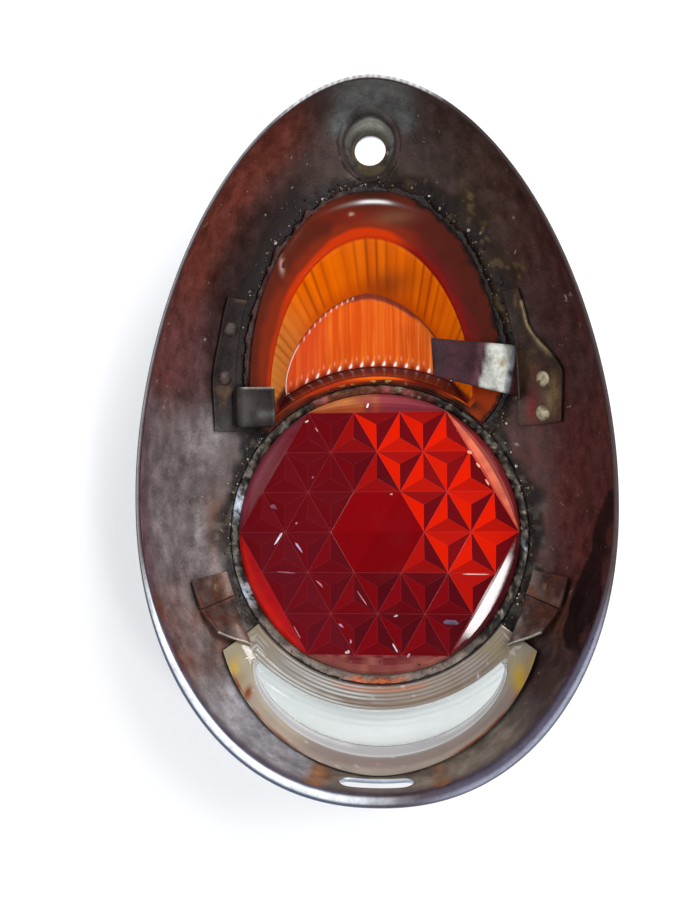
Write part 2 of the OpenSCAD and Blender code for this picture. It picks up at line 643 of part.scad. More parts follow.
// Lower clips lie at the tips of the clear lens, drawn by angle and distance from the red lens centre
low_in = step_r + 1.4;
low_bend = 203;
low_back = 9;
low_rise = 7.5;
low_skew = 9.5;
low_lean = 3.9;
low_weld_in = 4.3;
// Distance from the red lens centre after a walk outwards on the wall, in equal steps
function walk(r, a, s, n = 6) = n == 0 ? r :
    let (d = 0.25, q = polar(r, a), e = polar(r + d, a), slope = (surf(e[0], e[1]) - surf(q[0], q[1])) / d)
    walk(r + s / n / norm([1, slope]), a, s - s / n, n - 1);
low_r = walk(low_in, low_bend, 0.65 * low_tongue_w);
// Plan points between two angles; the inner side runs further round and leans outwards
function low_grid(a0, a1, skew, lean, m, n = 7) = [for (j = [0:m]) [for (i = [0:n])
    let (a = a0 + (a1 + skew * (1 - i / n) - a0) * j / m)
    polar(walk(low_in, a, lean * (1 - i / n) * j / m + low_tongue_w * i / n), a)]];
function low_arc(q) = let (a = atan2(q[1] - red_y, q[0]) + 360) max(0, (a - low_bend) * low_r * PI / 180);
// The tongue rises from its root until it clears the clear flange
function low_lift(q) = let (top = (clear_lay + seal_t + flange_t) * square_to(q[0], q[1])[2] + free_gap + 0.5)
    free_gap + (top - free_gap) * smooth(low_arc(q) / low_rise);
low_mid = low_bend - low_back / 2;
low_spot = polar(walk(low_in, low_mid, low_weld_in), low_mid);
low_gap_angle = hinge_gap * 180 / PI / (low_in + 2);
low_tip = low_bend + low_tongue_l * 180 / PI / low_r;

module lower_strap() {
    color([0.5, 0.42, 0.38]) difference() {
        shell_patch(low_grid(low_bend - low_back, low_bend, 0, 0, 4), function (q) lay, clip_t);
        weld_hole(low_spot);
    }
}
module lower_tongue() {
    color([0.5, 0.4, 0.35])
        shell_patch(low_grid(low_bend + low_gap_angle, low_tip, low_skew, low_lean, 8),
            function (q) low_lift(q), clip_t);
}
module lower_left_strap() { lower_strap(); }
module lower_left_tongue() { lower_tongue(); }
module lower_left_weld() { welds([low_spot]); }
module lower_right_strap() { mirror([1, 0, 0]) lower_strap(); }
module lower_right_tongue() { mirror([1, 0, 0]) lower_tongue(); }
module lower_right_weld() { mirror([1, 0, 0]) welds([low_spot]); }

bezel_shell();
amber_lens();
red_lens();
clear_lens();
amber_seal();
red_seal();
clear_seal();
upper_left_strap();
upper_left_tongue();
upper_left_welds();
upper_right_strap();
upper_right_tongue();
upper_right_welds();
lower_left_strap();
lower_left_tongue();
lower_left_weld();
lower_right_strap();
lower_right_tongue();
lower_right_weld();
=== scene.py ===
import math
import bpy
import numpy as np
from mathutils import Matrix, Vector


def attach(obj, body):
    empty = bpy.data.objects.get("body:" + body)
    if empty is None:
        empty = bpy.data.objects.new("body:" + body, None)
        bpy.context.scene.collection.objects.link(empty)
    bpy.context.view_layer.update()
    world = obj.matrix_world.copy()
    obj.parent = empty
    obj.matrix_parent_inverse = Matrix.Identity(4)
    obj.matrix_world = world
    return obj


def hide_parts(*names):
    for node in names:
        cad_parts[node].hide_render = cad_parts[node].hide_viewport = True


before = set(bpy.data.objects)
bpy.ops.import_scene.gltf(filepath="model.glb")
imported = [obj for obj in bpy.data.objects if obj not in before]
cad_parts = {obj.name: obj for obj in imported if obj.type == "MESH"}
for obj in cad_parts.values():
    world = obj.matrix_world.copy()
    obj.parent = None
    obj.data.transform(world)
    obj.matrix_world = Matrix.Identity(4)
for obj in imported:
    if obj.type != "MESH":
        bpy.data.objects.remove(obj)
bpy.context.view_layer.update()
print("frame loaded:", len(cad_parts), "nodes")

mm = 0.001


def screenColour(r, g, b):
    # A colour as seen on screen, 0 to 255, turned into linear light
    c = np.array([r, g, b], float) / 255
    return np.where(c <= 0.04045, c / 12.92, ((c + 0.055) / 1.055) ** 2.4)


def smooth(v):
    # 0 below 0, 1 above 1, and three squares less two cubes between
    c = np.clip(v, 0, 1)
    return c * c * (3 - 2 * c)


def ramp(v, start, end):
    # 0 before the start, 1 past the end and a smooth step between; the end may lie below the start
    return smooth((v - start) / (end - start))


def near(v, middle, width):
    # 1 at the middle, and a smooth step down to 0 at a width to either side of it
    return ramp(np.abs(v - middle), width, 0)


def lump(points, size, seed):
    # Smooth random field from -1 to 1: random values on a lattice, blended across each cell by a smooth step
    p = np.asarray(points, float) / size + 1000
    cell = np.floor(p).astype(np.int64)
    f = p - cell
    f = f * f * (3 - 2 * f)
    total = np.zeros(p.shape[:-1])
    for dx in (0, 1):
        for dy in (0, 1):
            for dz in (0, 1):
                h = ((cell[..., 0] + dx) * 73856093) ^ ((cell[..., 1] + dy) * 19349663)
                h = h ^ ((cell[..., 2] + dz) * 83492791) ^ (seed * 26544357)
                h = ((h ^ (h >> 13)) * 1274126177) & 0xFFFFFFFF
                value = ((h ^ (h >> 15)) & 0xFFFF) / 32767.5 - 1
                wx = f[..., 0] if dx else 1 - f[..., 0]
                wy = f[..., 1] if dy else 1 - f[..., 1]
                wz = f[..., 2] if dz else 1 - f[..., 2]
                total += value * wx * wy * wz
    return total


def ground(points, r, g, b):
    # One screen colour for every point, or for a number of them
    return np.tile(screenColour(r, g, b), (points if isinstance(points, int) else len(points), 1))


def paint(colours, layers):
    # Lays screen colours, or other lists of colours, over a list in turn, each with its share from 0 to 1
    for tone, share in layers:
        w = np.clip(share, 0, 1)[..., None]
        colours = colours * (1 - w) + (screenColour(*tone) if isinstance(tone, tuple) else tone) * w
    return colours


def patch(x, y, cx, cy, rx, ry):
    # Soft oval spot: a bell curve over the distance from its middle
    return np.exp(-((x - cx) / rx) ** 2 - ((y - cy) / ry) ** 2)


def patches(x, y, ovals):
    # Sum of soft ovals, each a middle, two half widths and a strength
    return sum(patch(x, y, *oval[:4]) * oval[4] for oval in ovals)


def gridFaces(rows, cols, closed=False, flip=False, first=0):
    # Corner numbers of the quads between rows of points; closed joins the last column to the first
    r = np.arange(rows - 1)[:, None]
    c = np.arange(cols if closed else cols - 1)[None, :]
    n = (c + 1) % cols
    quads = np.stack([r * cols + c, r * cols + n, (r + 1) * cols + n, (r + 1) * cols + c], -1).reshape(-1, 4)
    return first + (quads[:, ::-1] if flip else quads)


def addTint(mesh, colours, domain):
    # One colour for each point or face
    layer = mesh.attributes.new("tint", "FLOAT_COLOR", domain)
    full = np.column_stack([colours, np.ones(len(colours))])
    layer.data.foreach_set("color", full.astype(np.float32).ravel())


def addPiece(name, mesh, materials, body, stands):
    # One object at the origin, riding on a body and standing for nodes of the solids
    for m in materials:
        mesh.materials.append(m)
    obj = bpy.data.objects.new(name, mesh)
    bpy.context.scene.collection.objects.link(obj)
    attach(obj, body)
    if stands:
        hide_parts(*stands)
    return obj


def makePiece(name, points, faces, materials, slot, tint, sharp, body="cover", stands=(), which=None):
    # Rows of points in millimetres and rows of corner numbers become one mesh object at the origin
    points = np.asarray(points, float).reshape(-1, 3)
    corners = faces.shape[1]
    mesh = bpy.data.meshes.new(name)
    mesh.vertices.add(len(points))
    mesh.loops.add(faces.size)
    mesh.polygons.add(len(faces))
    mesh.vertices.foreach_set("co", (points * mm).astype(np.float32).ravel())
    mesh.loops.foreach_set("vertex_index", faces.astype(np.int32).ravel())
    mesh.polygons.foreach_set("loop_start", np.arange(0, faces.size, corners, dtype=np.int32))
    mesh.polygons.foreach_set("use_smooth", np.ones(len(faces), bool))
    if which is not None:
        mesh.polygons.foreach_set("material_index", np.asarray(which, np.int32))
    mesh.update(calc_edges=True)
    mesh.set_sharp_from_angle(angle=math.radians(sharp))
    addTint(mesh, tint, "POINT")
    return addPiece(name, mesh, materials, body, stands)


def thicken(obj, thickness, offset=-1, bevel=0.0, materialStep=0):
    # Gives a sheet its thickness, in millimetres, and softens its edges
    solid = obj.modifiers.new("thickness", "SOLIDIFY")
    solid.thickness = thickness * mm
    solid.offset = offset
    solid.material_offset = materialStep
    solid.material_offset_rim = materialStep
    if bevel:
        edge = obj.modifiers.new("edge", "BEVEL")
        edge.width = bevel * mm
        edge.segments = 2
        edge.limit_method = "ANGLE"
        edge.angle_limit = math.radians(50)
    return obj


# Camera at the photograph's viewing angle: a place over the open back, tilted a little up and to the left
view = {"place": (9.2, -23.1, 206.1), "pitch": 6.0, "yaw": 5.25, "roll": -0.55, "lens": 34.0, "sensor": 36.0}


def makeCamera():
    data = bpy.data.cameras.new("camera")
    data.lens = view["lens"]
    data.sensor_width = view["sensor"]
    data.clip_start = 0.005
    obj = bpy.data.objects.new("camera", data)
    bpy.context.scene.collection.objects.link(obj)
    fx, fy = -math.sin(math.radians(view["yaw"])), math.sin(math.radians(view["pitch"]))
    ahead = Vector((fx, fy, -math.sqrt(1 - fx * fx - fy * fy)))
    up = (Vector((0, 1, 0)) - ahead * ahead.y).normalized()
    right = ahead.cross(up)
    c, s = math.cos(math.radians(view["roll"])), math.sin(math.radians(view["roll"]))
    right, up = right * c + up * s, up * c - right * s
    m = Matrix((right, up, -ahead)).transposed().to_4x4()
    m.translation = Vector(view["place"]) * mm
    obj.matrix_world = m
    bpy.context.scene.camera = obj


makeCamera()


def feed(tree, value, socket):
    # Links a socket to another one, or gives it a plain value
    if hasattr(value, "is_linked"):
        tree.links.new(value, socket)
    else:
        socket.default_value = value


def put(tree, kind, **settings):
    n = tree.nodes.new(kind)
    for key, value in settings.items():
        setattr(n, key, value)
    return n


def noise(tree, vector, scale, detail=3.0, rough=0.55, stretch=None):
    # Noise over a place, its scale in lumps per metre; stretch makes the lumps longer along some axes
    if stretch:
        turn = put(tree, "ShaderNodeMapping")
        turn.inputs["Scale"].default_value = stretch
        tree.links.new(vector, turn.inputs["Vector"])
        vector = turn.outputs["Vector"]
    n = put(tree, "ShaderNodeTexNoise")
    n.inputs["Detail"].default_value = detail
    n.inputs["Roughness"].default_value = rough
    tree.links.new(vector, n.inputs["Vector"])
    feed(tree, scale, n.inputs["Scale"])
    return n.outputs["Fac"]


def limits(tree, value, low, high, outLow=0.0, outHigh=1.0):
    # Stretches a value between two limits into another range
    n = put(tree, "ShaderNodeMapRange", interpolation_type="SMOOTHSTEP")
    ends = {"Value": value, "From Min": low, "From Max": high, "To Min": outLow, "To Max": outHigh}
    for key, v in ends.items():
        feed(tree, v, n.inputs[key])
    return n.outputs["Result"]


def sums(tree, operation, a, b):
    n = put(tree, "ShaderNodeMath", operation=operation)
    feed(tree, a, n.inputs[0])
    feed(tree, b, n.inputs[1])
    return n.outputs["Value"]


def plus(tree, a, b):
    return sums(tree, "ADD", a, b)


def times(tree, a, b):
    return sums(tree, "MULTIPLY", a, b)


def mixColour(tree, weight, a, b, mode="MIX"):
    n = put(tree, "ShaderNodeMix", data_type="RGBA", blend_type=mode)
    for key, v in (("Factor", weight), ("A", a), ("B", b)):
        feed(tree, v, [s for s in n.inputs if s.name == key and s.enabled][0])
    return [s for s in n.outputs if s.enabled][0]


def newGroup(name, values):
    # Takes a place and named values, numbers or colours; gives a colour, a roughness and a height
    tree = bpy.data.node_groups.new(name, "ShaderNodeTree")
    tree.interface.new_socket("Place", in_out="INPUT", socket_type="NodeSocketVector")
    for label, value in values.items():
        kind = "NodeSocketColor" if isinstance(value, tuple) else "NodeSocketFloat"
        tree.interface.new_socket(label, in_out="INPUT", socket_type=kind).default_value = value
    for label in ("Color", "Roughness", "Height"):
        kind = "NodeSocketColor" if label == "Color" else "NodeSocketFloat"
        tree.interface.new_socket(label, in_out="OUTPUT", socket_type=kind)
    return tree, put(tree, "NodeGroupInput").outputs, put(tree, "NodeGroupOutput").inputs


def makeTarnish():
    # Old sheet metal: cloudy colour, fine grain, rust pits with a dark edge
    tree, take, give = newGroup("tarnish", {
        "Color": (0.1, 0.1, 0.1, 1), "Cloud": 90.0, "Grain": 900.0, "Contrast": 0.5, "Rust": 0.3,
        "Rust Color": (0.16, 0.06, 0.02, 1)})
    cloud = noise(tree, take["Place"], take["Cloud"], 7.0, 0.62)
    grain = noise(tree, take["Place"], take["Grain"], 5.0, 0.6)
    pit = noise(tree, take["Place"], 420.0, 8.0, 0.7)
    lift = times(tree, take["Contrast"], 1.6)
    light = plus(tree, times(tree, plus(tree, cloud, -0.5), lift),
                 times(tree, plus(tree, grain, -0.5), take["Contrast"]))
    bright = limits(tree, light, -0.5, 0.5, 0.35, 1.65)
    grey = put(tree, "ShaderNodeCombineColor")
    for key in ("Red", "Green", "Blue"):
        tree.links.new(bright, grey.inputs[key])
    plain = mixColour(tree, 1.0, take["Color"], grey.outputs["Color"], "MULTIPLY")
    edge = sums(tree, "SUBTRACT", 0.86, times(tree, take["Rust"], 0.4))
    mask = limits(tree, pit, edge, plus(tree, edge, 0.05))
    tree.links.new(mixColour(tree, mask, plain, take["Rust Color"]), give["Color"])
    rough = limits(tree, cloud, 0.3, 0.7, 0.32, 0.6)
    tree.links.new(plus(tree, rough, times(tree, mask, 0.3)), give["Roughness"])
    high = plus(tree, times(tree, grain, 0.5), times(tree, mask, 0.5))
    tree.links.new(plus(tree, high, times(tree, cloud, 0.4)), give["Height"])
    return tree


def makeGrime():
    # Dust and dirt that lie on glass and plastic, and fine scratches
    tree, take, give = newGroup("grime", {
        "Color": (0.5, 0.5, 0.5, 1), "Dust": 0.3, "Dust Color": (0.18, 0.13, 0.1, 1), "Speck Scale": 700.0})
    wide = noise(tree, take["Place"], 120.0, 5.0, 0.6)
    speck = noise(tree, take["Place"], take["Speck Scale"], 3.0, 0.6)
    scratch = noise(tree, take["Place"], 900.0, 2.0, 0.5, (1.0, 0.06, 1.0))
    film = limits(tree, wide, 0.45, 0.8)
    dots = limits(tree, speck, sums(tree, "SUBTRACT", 0.82, times(tree, take["Dust"], 0.25)), 0.86)
    dirt = sums(tree, "MAXIMUM", times(tree, film, times(tree, take["Dust"], 0.45)),
                times(tree, dots, 0.75))
    tree.links.new(mixColour(tree, dirt, take["Color"], take["Dust Color"]), give["Color"])
    lines = limits(tree, scratch, 0.62, 0.7)
    rough = plus(tree, times(tree, dirt, 0.6), times(tree, lines, 0.12))
    tree.links.new(plus(tree, rough, 0.1), give["Roughness"])
    tree.links.new(plus(tree, times(tree, dirt, 0.8), times(tree, lines, 0.1)),
                   give["Height"])
    return tree


tarnish = makeTarnish()
grime = makeGrime()


def rgba(tone):
    return (*screenColour(*tone), 1)


def startMaterial(name, group, values, bump, plain, colour=None):
    # The piece's own tint, or one colour, worked on by a group; bump is a strength and a depth in millimetres
    m = bpy.data.materials.new(name)
    m.use_nodes = True
    tree = m.node_tree
    shader = tree.nodes["Principled BSDF"]
    g = put(tree, "ShaderNodeGroup", node_tree=group)
    tree.links.new(put(tree, "ShaderNodeTexCoord").outputs["Object"], g.inputs["Place"])
    tint = rgba(colour) if colour else put(tree, "ShaderNodeAttribute", attribute_name="tint").outputs["Color"]
    feed(tree, tint, g.inputs["Color"])
    for key, value in values.items():
        g.inputs[key].default_value = value
    tree.links.new(g.outputs["Color"], shader.inputs["Base Color"])
    tree.links.new(g.outputs["Roughness"], shader.inputs["Roughness"])
    b = put(tree, "ShaderNodeBump")
    b.inputs["Strength"].default_value = bump[0]
    b.inputs["Distance"].default_value = bump[1] * mm
    tree.links.new(g.outputs["Height"], b.inputs["Height"])
    tree.links.new(b.outputs["Normal"], shader.inputs["Normal"])
    for key, value in plain.items():
        shader.inputs[key].default_value = value
    return m


def oldMetal(name, cloud, grain, contrast, rust, rustTone, bump, plain, colour=None):
    # Cloud and grain in lumps per metre, then the rust's share and colour
    values = {"Cloud": cloud, "Grain": grain, "Contrast": contrast, "Rust": rust, "Rust Color": rgba(rustTone)}
    return startMaterial(name, tarnish, values, bump, plain, colour)


def oldPlastic(name, dust, dustTone, speck, bump, plain, colour=None):
    # The dust's share and colour, then its specks per metre
    values = {"Dust": dust, "Dust Color": rgba(dustTone), "Speck Scale": speck}
    return startMaterial(name, grime, values, bump, plain, colour)


innerSteel = oldMetal("inner_steel", 260.0, 1800.0, 0.6, 0.56, (160, 146, 134), (0.5, 0.25),
                      {"Metallic": 0.2, "Specular IOR Level": 0.3})
chrome = oldMetal("chrome", 160.0, 700.0, 0.2, 0.1, (120, 80, 50), (0.15, 0.08),
                  {"Metallic": 1.0}, (196, 204, 218))
lipChrome = oldMetal("lip_chrome", 300.0, 1500.0, 0.35, 0.2, (90, 74, 70), (0.25, 0.08),
                     {"Metallic": 0.3, "Specular IOR Level": 0.3})
oldRubber = oldMetal("seal_rubber", 360.0, 1600.0, 1.0, 0.45, (132, 116, 88), (0.9, 0.5),
                     {"Specular IOR Level": 0.4})
clipSteel = oldMetal("clip_steel", 240.0, 1500.0, 0.7, 0.35, (110, 70, 40), (0.4, 0.15),
                     {"Metallic": 0.4, "Specular IOR Level": 0.4})
weldMetal = oldMetal("weld_metal", 500.0, 2200.0, 0.8, 0.5, (120, 84, 48), (0.8, 0.3), {"Metallic": 0.2})
crumbMatter = startMaterial("crumbs", tarnish, {"Cloud": 500.0, "Grain": 2500.0, "Contrast": 0.6, "Rust": 0.1},
                            (0.5, 0.2), {})
amberPlastic = oldPlastic("amber_plastic", 0.22, (84, 44, 28), 1100.0, (0.35, 0.08),
                          {"Specular IOR Level": 0.05, "Coat Weight": 0.03, "Coat Roughness": 0.08})
redPlastic = oldPlastic("red_plastic", 0.3, (96, 40, 46), 800.0, (0.3, 0.08),
                        {"Specular IOR Level": 0.0, "Coat Roughness": 0.07})
redTree = redPlastic.node_tree  # the red lens shines where its gloss attribute says
redTree.links.new(put(redTree, "ShaderNodeAttribute", attribute_name="gloss").outputs["Fac"],
                  redTree.nodes["Principled BSDF"].inputs["Coat Weight"])
# The rounded lines between the pyramids: a painted pink reflection, with dust on it
redEdgeSheen = oldPlastic("red_edge_sheen", 0.4, (150, 96, 92), 500.0, (0.3, 0.08),
                     {"Specular IOR Level": 0.25}, (156, 62, 62))
clearGlass = oldPlastic("clear_plastic", 0.1, (170, 165, 145), 600.0, (0.2, 0.05),
                        {"Transmission Weight": 0.92, "IOR": 1.4})
clearFlange = oldPlastic("clear_flange", 0.28, (112, 98, 84), 500.0, (0.4, 0.1),
                         {"Transmission Weight": 0.15, "IOR": 1.45, "Coat Weight": 0.3})
print("materials made")

# The cover, an egg-shaped pressed shell round the seat of the red lens, in millimetres; the seat is listed as
# radii and heights
cover = {"width": 98.0, "length": 151.2, "crown": 87.1, "height": 34.5, "sheet": 0.9, "lipCrown": 1.1,
         "lipFoot": 2.8, "crownPower": 1.86, "footPower": 2.2, "redDrop": 21.5, "redRadius": 32.6,
         "seatRadius": 34.3, "stepRadius": 35.2, "stepHeight": 7.7, "dent": 5.0,
         "around": 420, "wallRows": 70, "lipRows": 14,
         "seat": ((29.6, 5.15), (31.0, 5.15), (32.6, 5.15), (33.9, 5.15), (34.2, 5.25), (34.32, 5.6),
                  (34.4, 6.6), (34.5, 7.2), (34.75, 7.55), (35.2, 7.7))}
halfW = cover["width"] / 2
crownL = cover["crown"]
footL = cover["length"] - crownL
eggY = cover["length"] / 2 - crownL
redY = -cover["redDrop"]
redR = cover["redRadius"]
seatR = cover["seatRadius"]
stepR, stepZ = cover["stepRadius"], cover["stepHeight"]


# Repeats of the search for the rim, of the search for the slot's edge, and of the pocket's rounding
halvings, footTurns, rounds = 26, 3, 6


def reach(a):
    # Distance from the red lens centre to the rim along a direction, found by halving between two guesses
    low, high = np.zeros_like(a), np.full_like(a, 200.0)
    for turn in range(halvings):
        mid = (low + high) / 2
        x, y = mid * np.cos(a), redY + mid * np.sin(a)
        power = np.where(y >= eggY, cover["crownPower"], cover["footPower"])
        along = np.abs(y - eggY) / np.where(y >= eggY, crownL, footL)
        within = (np.abs(x) / halfW) ** power + along ** power < 1
        low, high = np.where(within, mid, low), np.where(within, high, mid)
    return (low + high) / 2


def lipAt(y):
    # Breadth of the rolled lip, which grows from the crown to the foot
    return cover["lipCrown"] + (cover["lipFoot"] - cover["lipCrown"]) * smooth((eggY - 8 - y) / 42)


def wallPower(a):
    # How square the wall's section is: rounder at the sides than at the foot and the crown
    return 2 + 0.8 * smooth(-np.sin(a) * 1.6 - 0.4) + 0.5 * smooth(np.sin(a) * 2.5 - 1.5)


def surf(x, y):
    # Height of the inner face: a quarter of a rounded oval from the red seat's step up to the lip
    x, y = np.asarray(x, float), np.asarray(y, float)
    a = np.arctan2(y - redY, x)
    rim = reach(a)
    lip = lipAt(redY + rim * np.sin(a))
    f = np.clip((np.hypot(x, y - redY) - stepR) / (rim - lip - stepR), 0, 1)
    return stepZ + (cover["height"] - lip / 2 - stepZ) * (1 - np.sqrt(np.maximum(1 - f ** wallPower(a), 0)))


def squareTo(x, y):
    # Direction square to the inner face, from its slope across a quarter of a millimetre
    d = 0.25
    gx = (surf(x + d, y) - surf(x - d, y)) / (2 * d)
    gy = (surf(x, y + d) - surf(x, y - d)) / (2 * d)
    n = np.stack([-gx, -gy, np.ones_like(gx)], axis=-1)
    return n / np.linalg.norm(n, axis=-1, keepdims=True)


def raised(x, y, h):
    # A point at a height over the inner face
    base = np.stack([x, y, surf(x, y)], axis=-1)
    return base + squareTo(x, y) * np.asarray(h)[..., None]


# Outlines shared by lenses, seals and windows, in millimetres and degrees: the amber arch's rim, fluted face,
# cavity and ribs, the clear crescent with its flange's fine rings as places and heights, and the seals below
amber = {"halfWidth": 29.3, "top": 57.0, "middle": 12.0, "ear": 33.0, "flange": 2.2, "wall": 2.2, "steps": 320,
         "rimSide": 4.6, "rimTop": 9.0, "rimFoot": 1.4,
         "face": 2.9, "flutes": 15, "faceSide": 4.4, "faceTop": 11.3, "faceFoot": 4.0, "faceTurn": 8.0,
         "faceShift": -2.0, "facePower": 1.7,
         "cupHalf": 23.6, "cupTop": 47.0, "cupMiddle": 10.0, "cupTurn": 18.0, "cupShift": -1.0,
         "cupPower": 1.95, "leftRib": 3.6, "rightRib": 1.95, "ribDepth": 0.2}
clear = {"span": 53.0, "window": 44.5, "rim": 5.0, "outer": 36.8, "shift": 13.3, "cup": 4.0, "rise": 8.4,
         "draw": 1.092, "steps": 150,
         "rings": ((0.0, -0.22), (0.03, -0.03), (0.1, 0.0), (0.17, -0.12), (0.24, 0.0), (0.31, -0.14),
                   (0.38, 0.0), (0.46, -0.1), (0.54, 0.0), (0.63, -0.14), (0.72, 0.0), (0.8, -0.1), (0.88, 0.0),
                   (0.96, 0.0), (0.99, -0.12), (1.0, -0.4))}
seals = {"lay": 0.35, "clearLay": 0.55, "thick": 0.6, "room": 0.1, "slip": 0.15, "width": 2.0,
         "redProfile": ((30.0, 5.24), (33.0, 5.24), (34.1, 5.24), (34.15, 6.6), (34.5, 8.05), (34.3, 8.45),
                        (33.9, 8.4), (33.4, 8.0), (32.95, 7.4), (32.7, 6.9), (32.7, 5.85), (30.0, 5.8)),
         "redPush": (0, 0, 0, 0, 0.5, 1, 1, 1, 0.5, 0, 0, 0)}
lay, sealT, sealRoom, slip = seals["lay"], seals["thick"], seals["room"], seals["slip"]
footR = seatR + 0.3


def footArc(x, r):
    # Height in plan of a circle about the red lens centre
    return redY + np.sqrt(r * r - x * x)


def signedPower(v, p):
    # A power of the size, with the sign kept
    return np.sign(v) * np.abs(v) ** p


def arch(w, top, r, mid, n=amber["steps"], turn=amber["ear"], shift=0.0, power=2.0):
    # Closed loop: an arc over the red lens from left to right, then half an oval back, with two ears below it
    ear = math.radians(turn)
    end = w * math.cos(ear) ** (2 / power)
    i = np.linspace(0, 1, n + 1)
    x = end * np.sin(np.pi / 2 * (2 * i - 1)) + shift
    a = -ear + (np.pi + 2 * ear) * i
    s = np.sin(a)
    drop = (mid - footArc(np.sign(np.cos(a)) * end + shift, r) - 0.3) / math.sin(ear)
    bow = mid + np.where(s >= 0, (top - mid) * signedPower(s, 2 / power), drop * s)
    return np.concatenate([np.stack([x, footArc(x, r)], -1),
                           np.stack([w * signedPower(np.cos(a), 2 / power) + shift, bow], -1)])


def amberOuter(grow=0.0, n=amber["steps"]):
    # Outline of the flange
    return arch(amber["halfWidth"] + grow, amber["top"] + grow, footR - min(grow, 0) * 0.4, amber["middle"], n)


def amberCavity(grow=0.0, n=amber["steps"]):
    # Top edge of the ribbed wall
    return arch(amber["cupHalf"] + grow, amber["cupTop"] + grow, footR + amber["rimFoot"] - grow * 0.5,
                amber["cupMiddle"], n, amber["cupTurn"], amber["cupShift"], amber["cupPower"])


faceHalf = amber["halfWidth"] - amber["rimSide"] - amber["faceSide"]
faceFootR = footR + amber["rimFoot"] + amber["faceFoot"]


def amberFaceLoop(grow=0.0, n=amber["steps"]):
    # Foot of the wall, round the fluted face
    mid = float(footArc(faceHalf + amber["faceShift"], faceFootR)) + 0.4
    top = amber["top"] - amber["rimTop"] - amber["faceTop"]
    return arch(faceHalf + grow, top + grow, faceFootR - grow, mid, n, amber["faceTurn"], amber["faceShift"],
                amber["facePower"])


def crescentRadius(a, r):
    # Distance from the red lens centre to a circle drawn about the clear lens centre
    b = -clear["shift"] * np.sin(a)
    return b + np.sqrt(b * b - clear["shift"] ** 2 + r * r)


def polar(r, a):
    # Plan point at a distance and direction from the red lens centre
    return np.stack([r * np.cos(a), redY + r * np.sin(a)], -1)


def fan(span):
    # Directions to both sides of straight down, closer together towards the ends, as a sine
    i = np.linspace(-1, 1, clear["steps"] + 1)
    return np.radians(270 + span * np.sin(np.pi / 2 * i))


def crescent(outer, inner):
    # Closed loop: the outer points, a divided end, the inner points back, and the other divided end
    k = np.arange(1, 5)[:, None] / 5
    end = inner[-1] + (outer[-1] - inner[-1]) * k[::-1]
    start = inner[0] + (outer[0] - inner[0]) * k
    return np.concatenate([outer, end, inner[::-1], start])


def clearOuterLoop(grow=0.0):
    # Outline of the flange: a circle outside, and one about the red lens inside
    a = fan(clear["span"] + grow * 1.3)
    outer = crescentRadius(a, clear["outer"] + grow)
    return crescent(polar(outer, a), polar(np.full_like(a, footR - grow / 2), a))


def clearWindowLoop(shrink=0.0):
    # Window edge: widest at the middle and pointed at both tips
    span = clear["window"] - shrink * 1.4
    a = fan(span)
    r0 = footR + clear["rim"] + shrink
    high = (clear["rise"] - 2 * shrink) * np.maximum(0.02, 1 - ((np.degrees(a) - 270) / span) ** 2) ** 0.55
    return crescent(polar(r0 + high, a), polar(np.full_like(a, r0), a))


def lift(loop, up):
    # A loop in plan laid on the inner face and raised straight up
    return np.column_stack([loop, surf(loop[:, 0], loop[:, 1]) + up])


def flatAt(loop, z):
    # A loop in plan at one height
    return np.column_stack([loop, np.full(len(loop), z)])


def between(a, b, f):
    # A share of the way from one loop to another
    return a * (1 - f) + b * f


# Screw pocket and hook slot, in millimetres; the foot is the radii and heights of the pocket's lowest rows
screw = {"y": 66.6, "landHeight": 17.003, "flareHeight": 2.5, "pocket": 5.6, "reach": 6.9,
         "around": 120, "rows": 34,
         "foot": ((3.6, 0), (3.9, 0), (4.25, 0.05), (4.6, 0.5), (5.0, 1.4), (5.4, 2.3))}
slot = {"length": 15.2, "height": 4.6, "middle": 27.6}


def insideLoop(px, py, loop):
    # Even and odd crossings of a line to the right of each point
    x0, y0 = loop[:, 0], loop[:, 1]
    x1, y1 = np.roll(x0, -1), np.roll(y0, -1)
    px, py = px[:, None], py[:, None]
    crosses = (y0 > py) != (y1 > py)
    at = x0 + (py - y0) * (x1 - x0) / np.where(y1 == y0, 1e-9, y1 - y0)
    return (crosses & (px < at)).sum(1) % 2 == 1


def nearestOn(px, py, loop):
    # Foot of the shortest line from each point to the edges of a loop
    p = np.stack([px, py], -1)[:, None, :]
    a, b = loop[None], np.roll(loop, -1, 0)[None]
    d = b - a
    t = np.clip(((p - a) * d).sum(-1) / np.maximum((d * d).sum(-1), 1e-12), 0, 1)
    foot = a + d * t[..., None]
    best = ((p - foot) ** 2).sum(-1).argmin(1)
    return foot[np.arange(len(best)), best]


def pressed(x, y, z):
    # The sheet is drawn down above the screw pocket: a bell-shaped dent that fades out below the lip
    return z - cover["dent"] * np.exp(-(x / 8.5) ** 2 - ((y - 71.6) / 3.4) ** 2) * ramp(z, 34, 30)


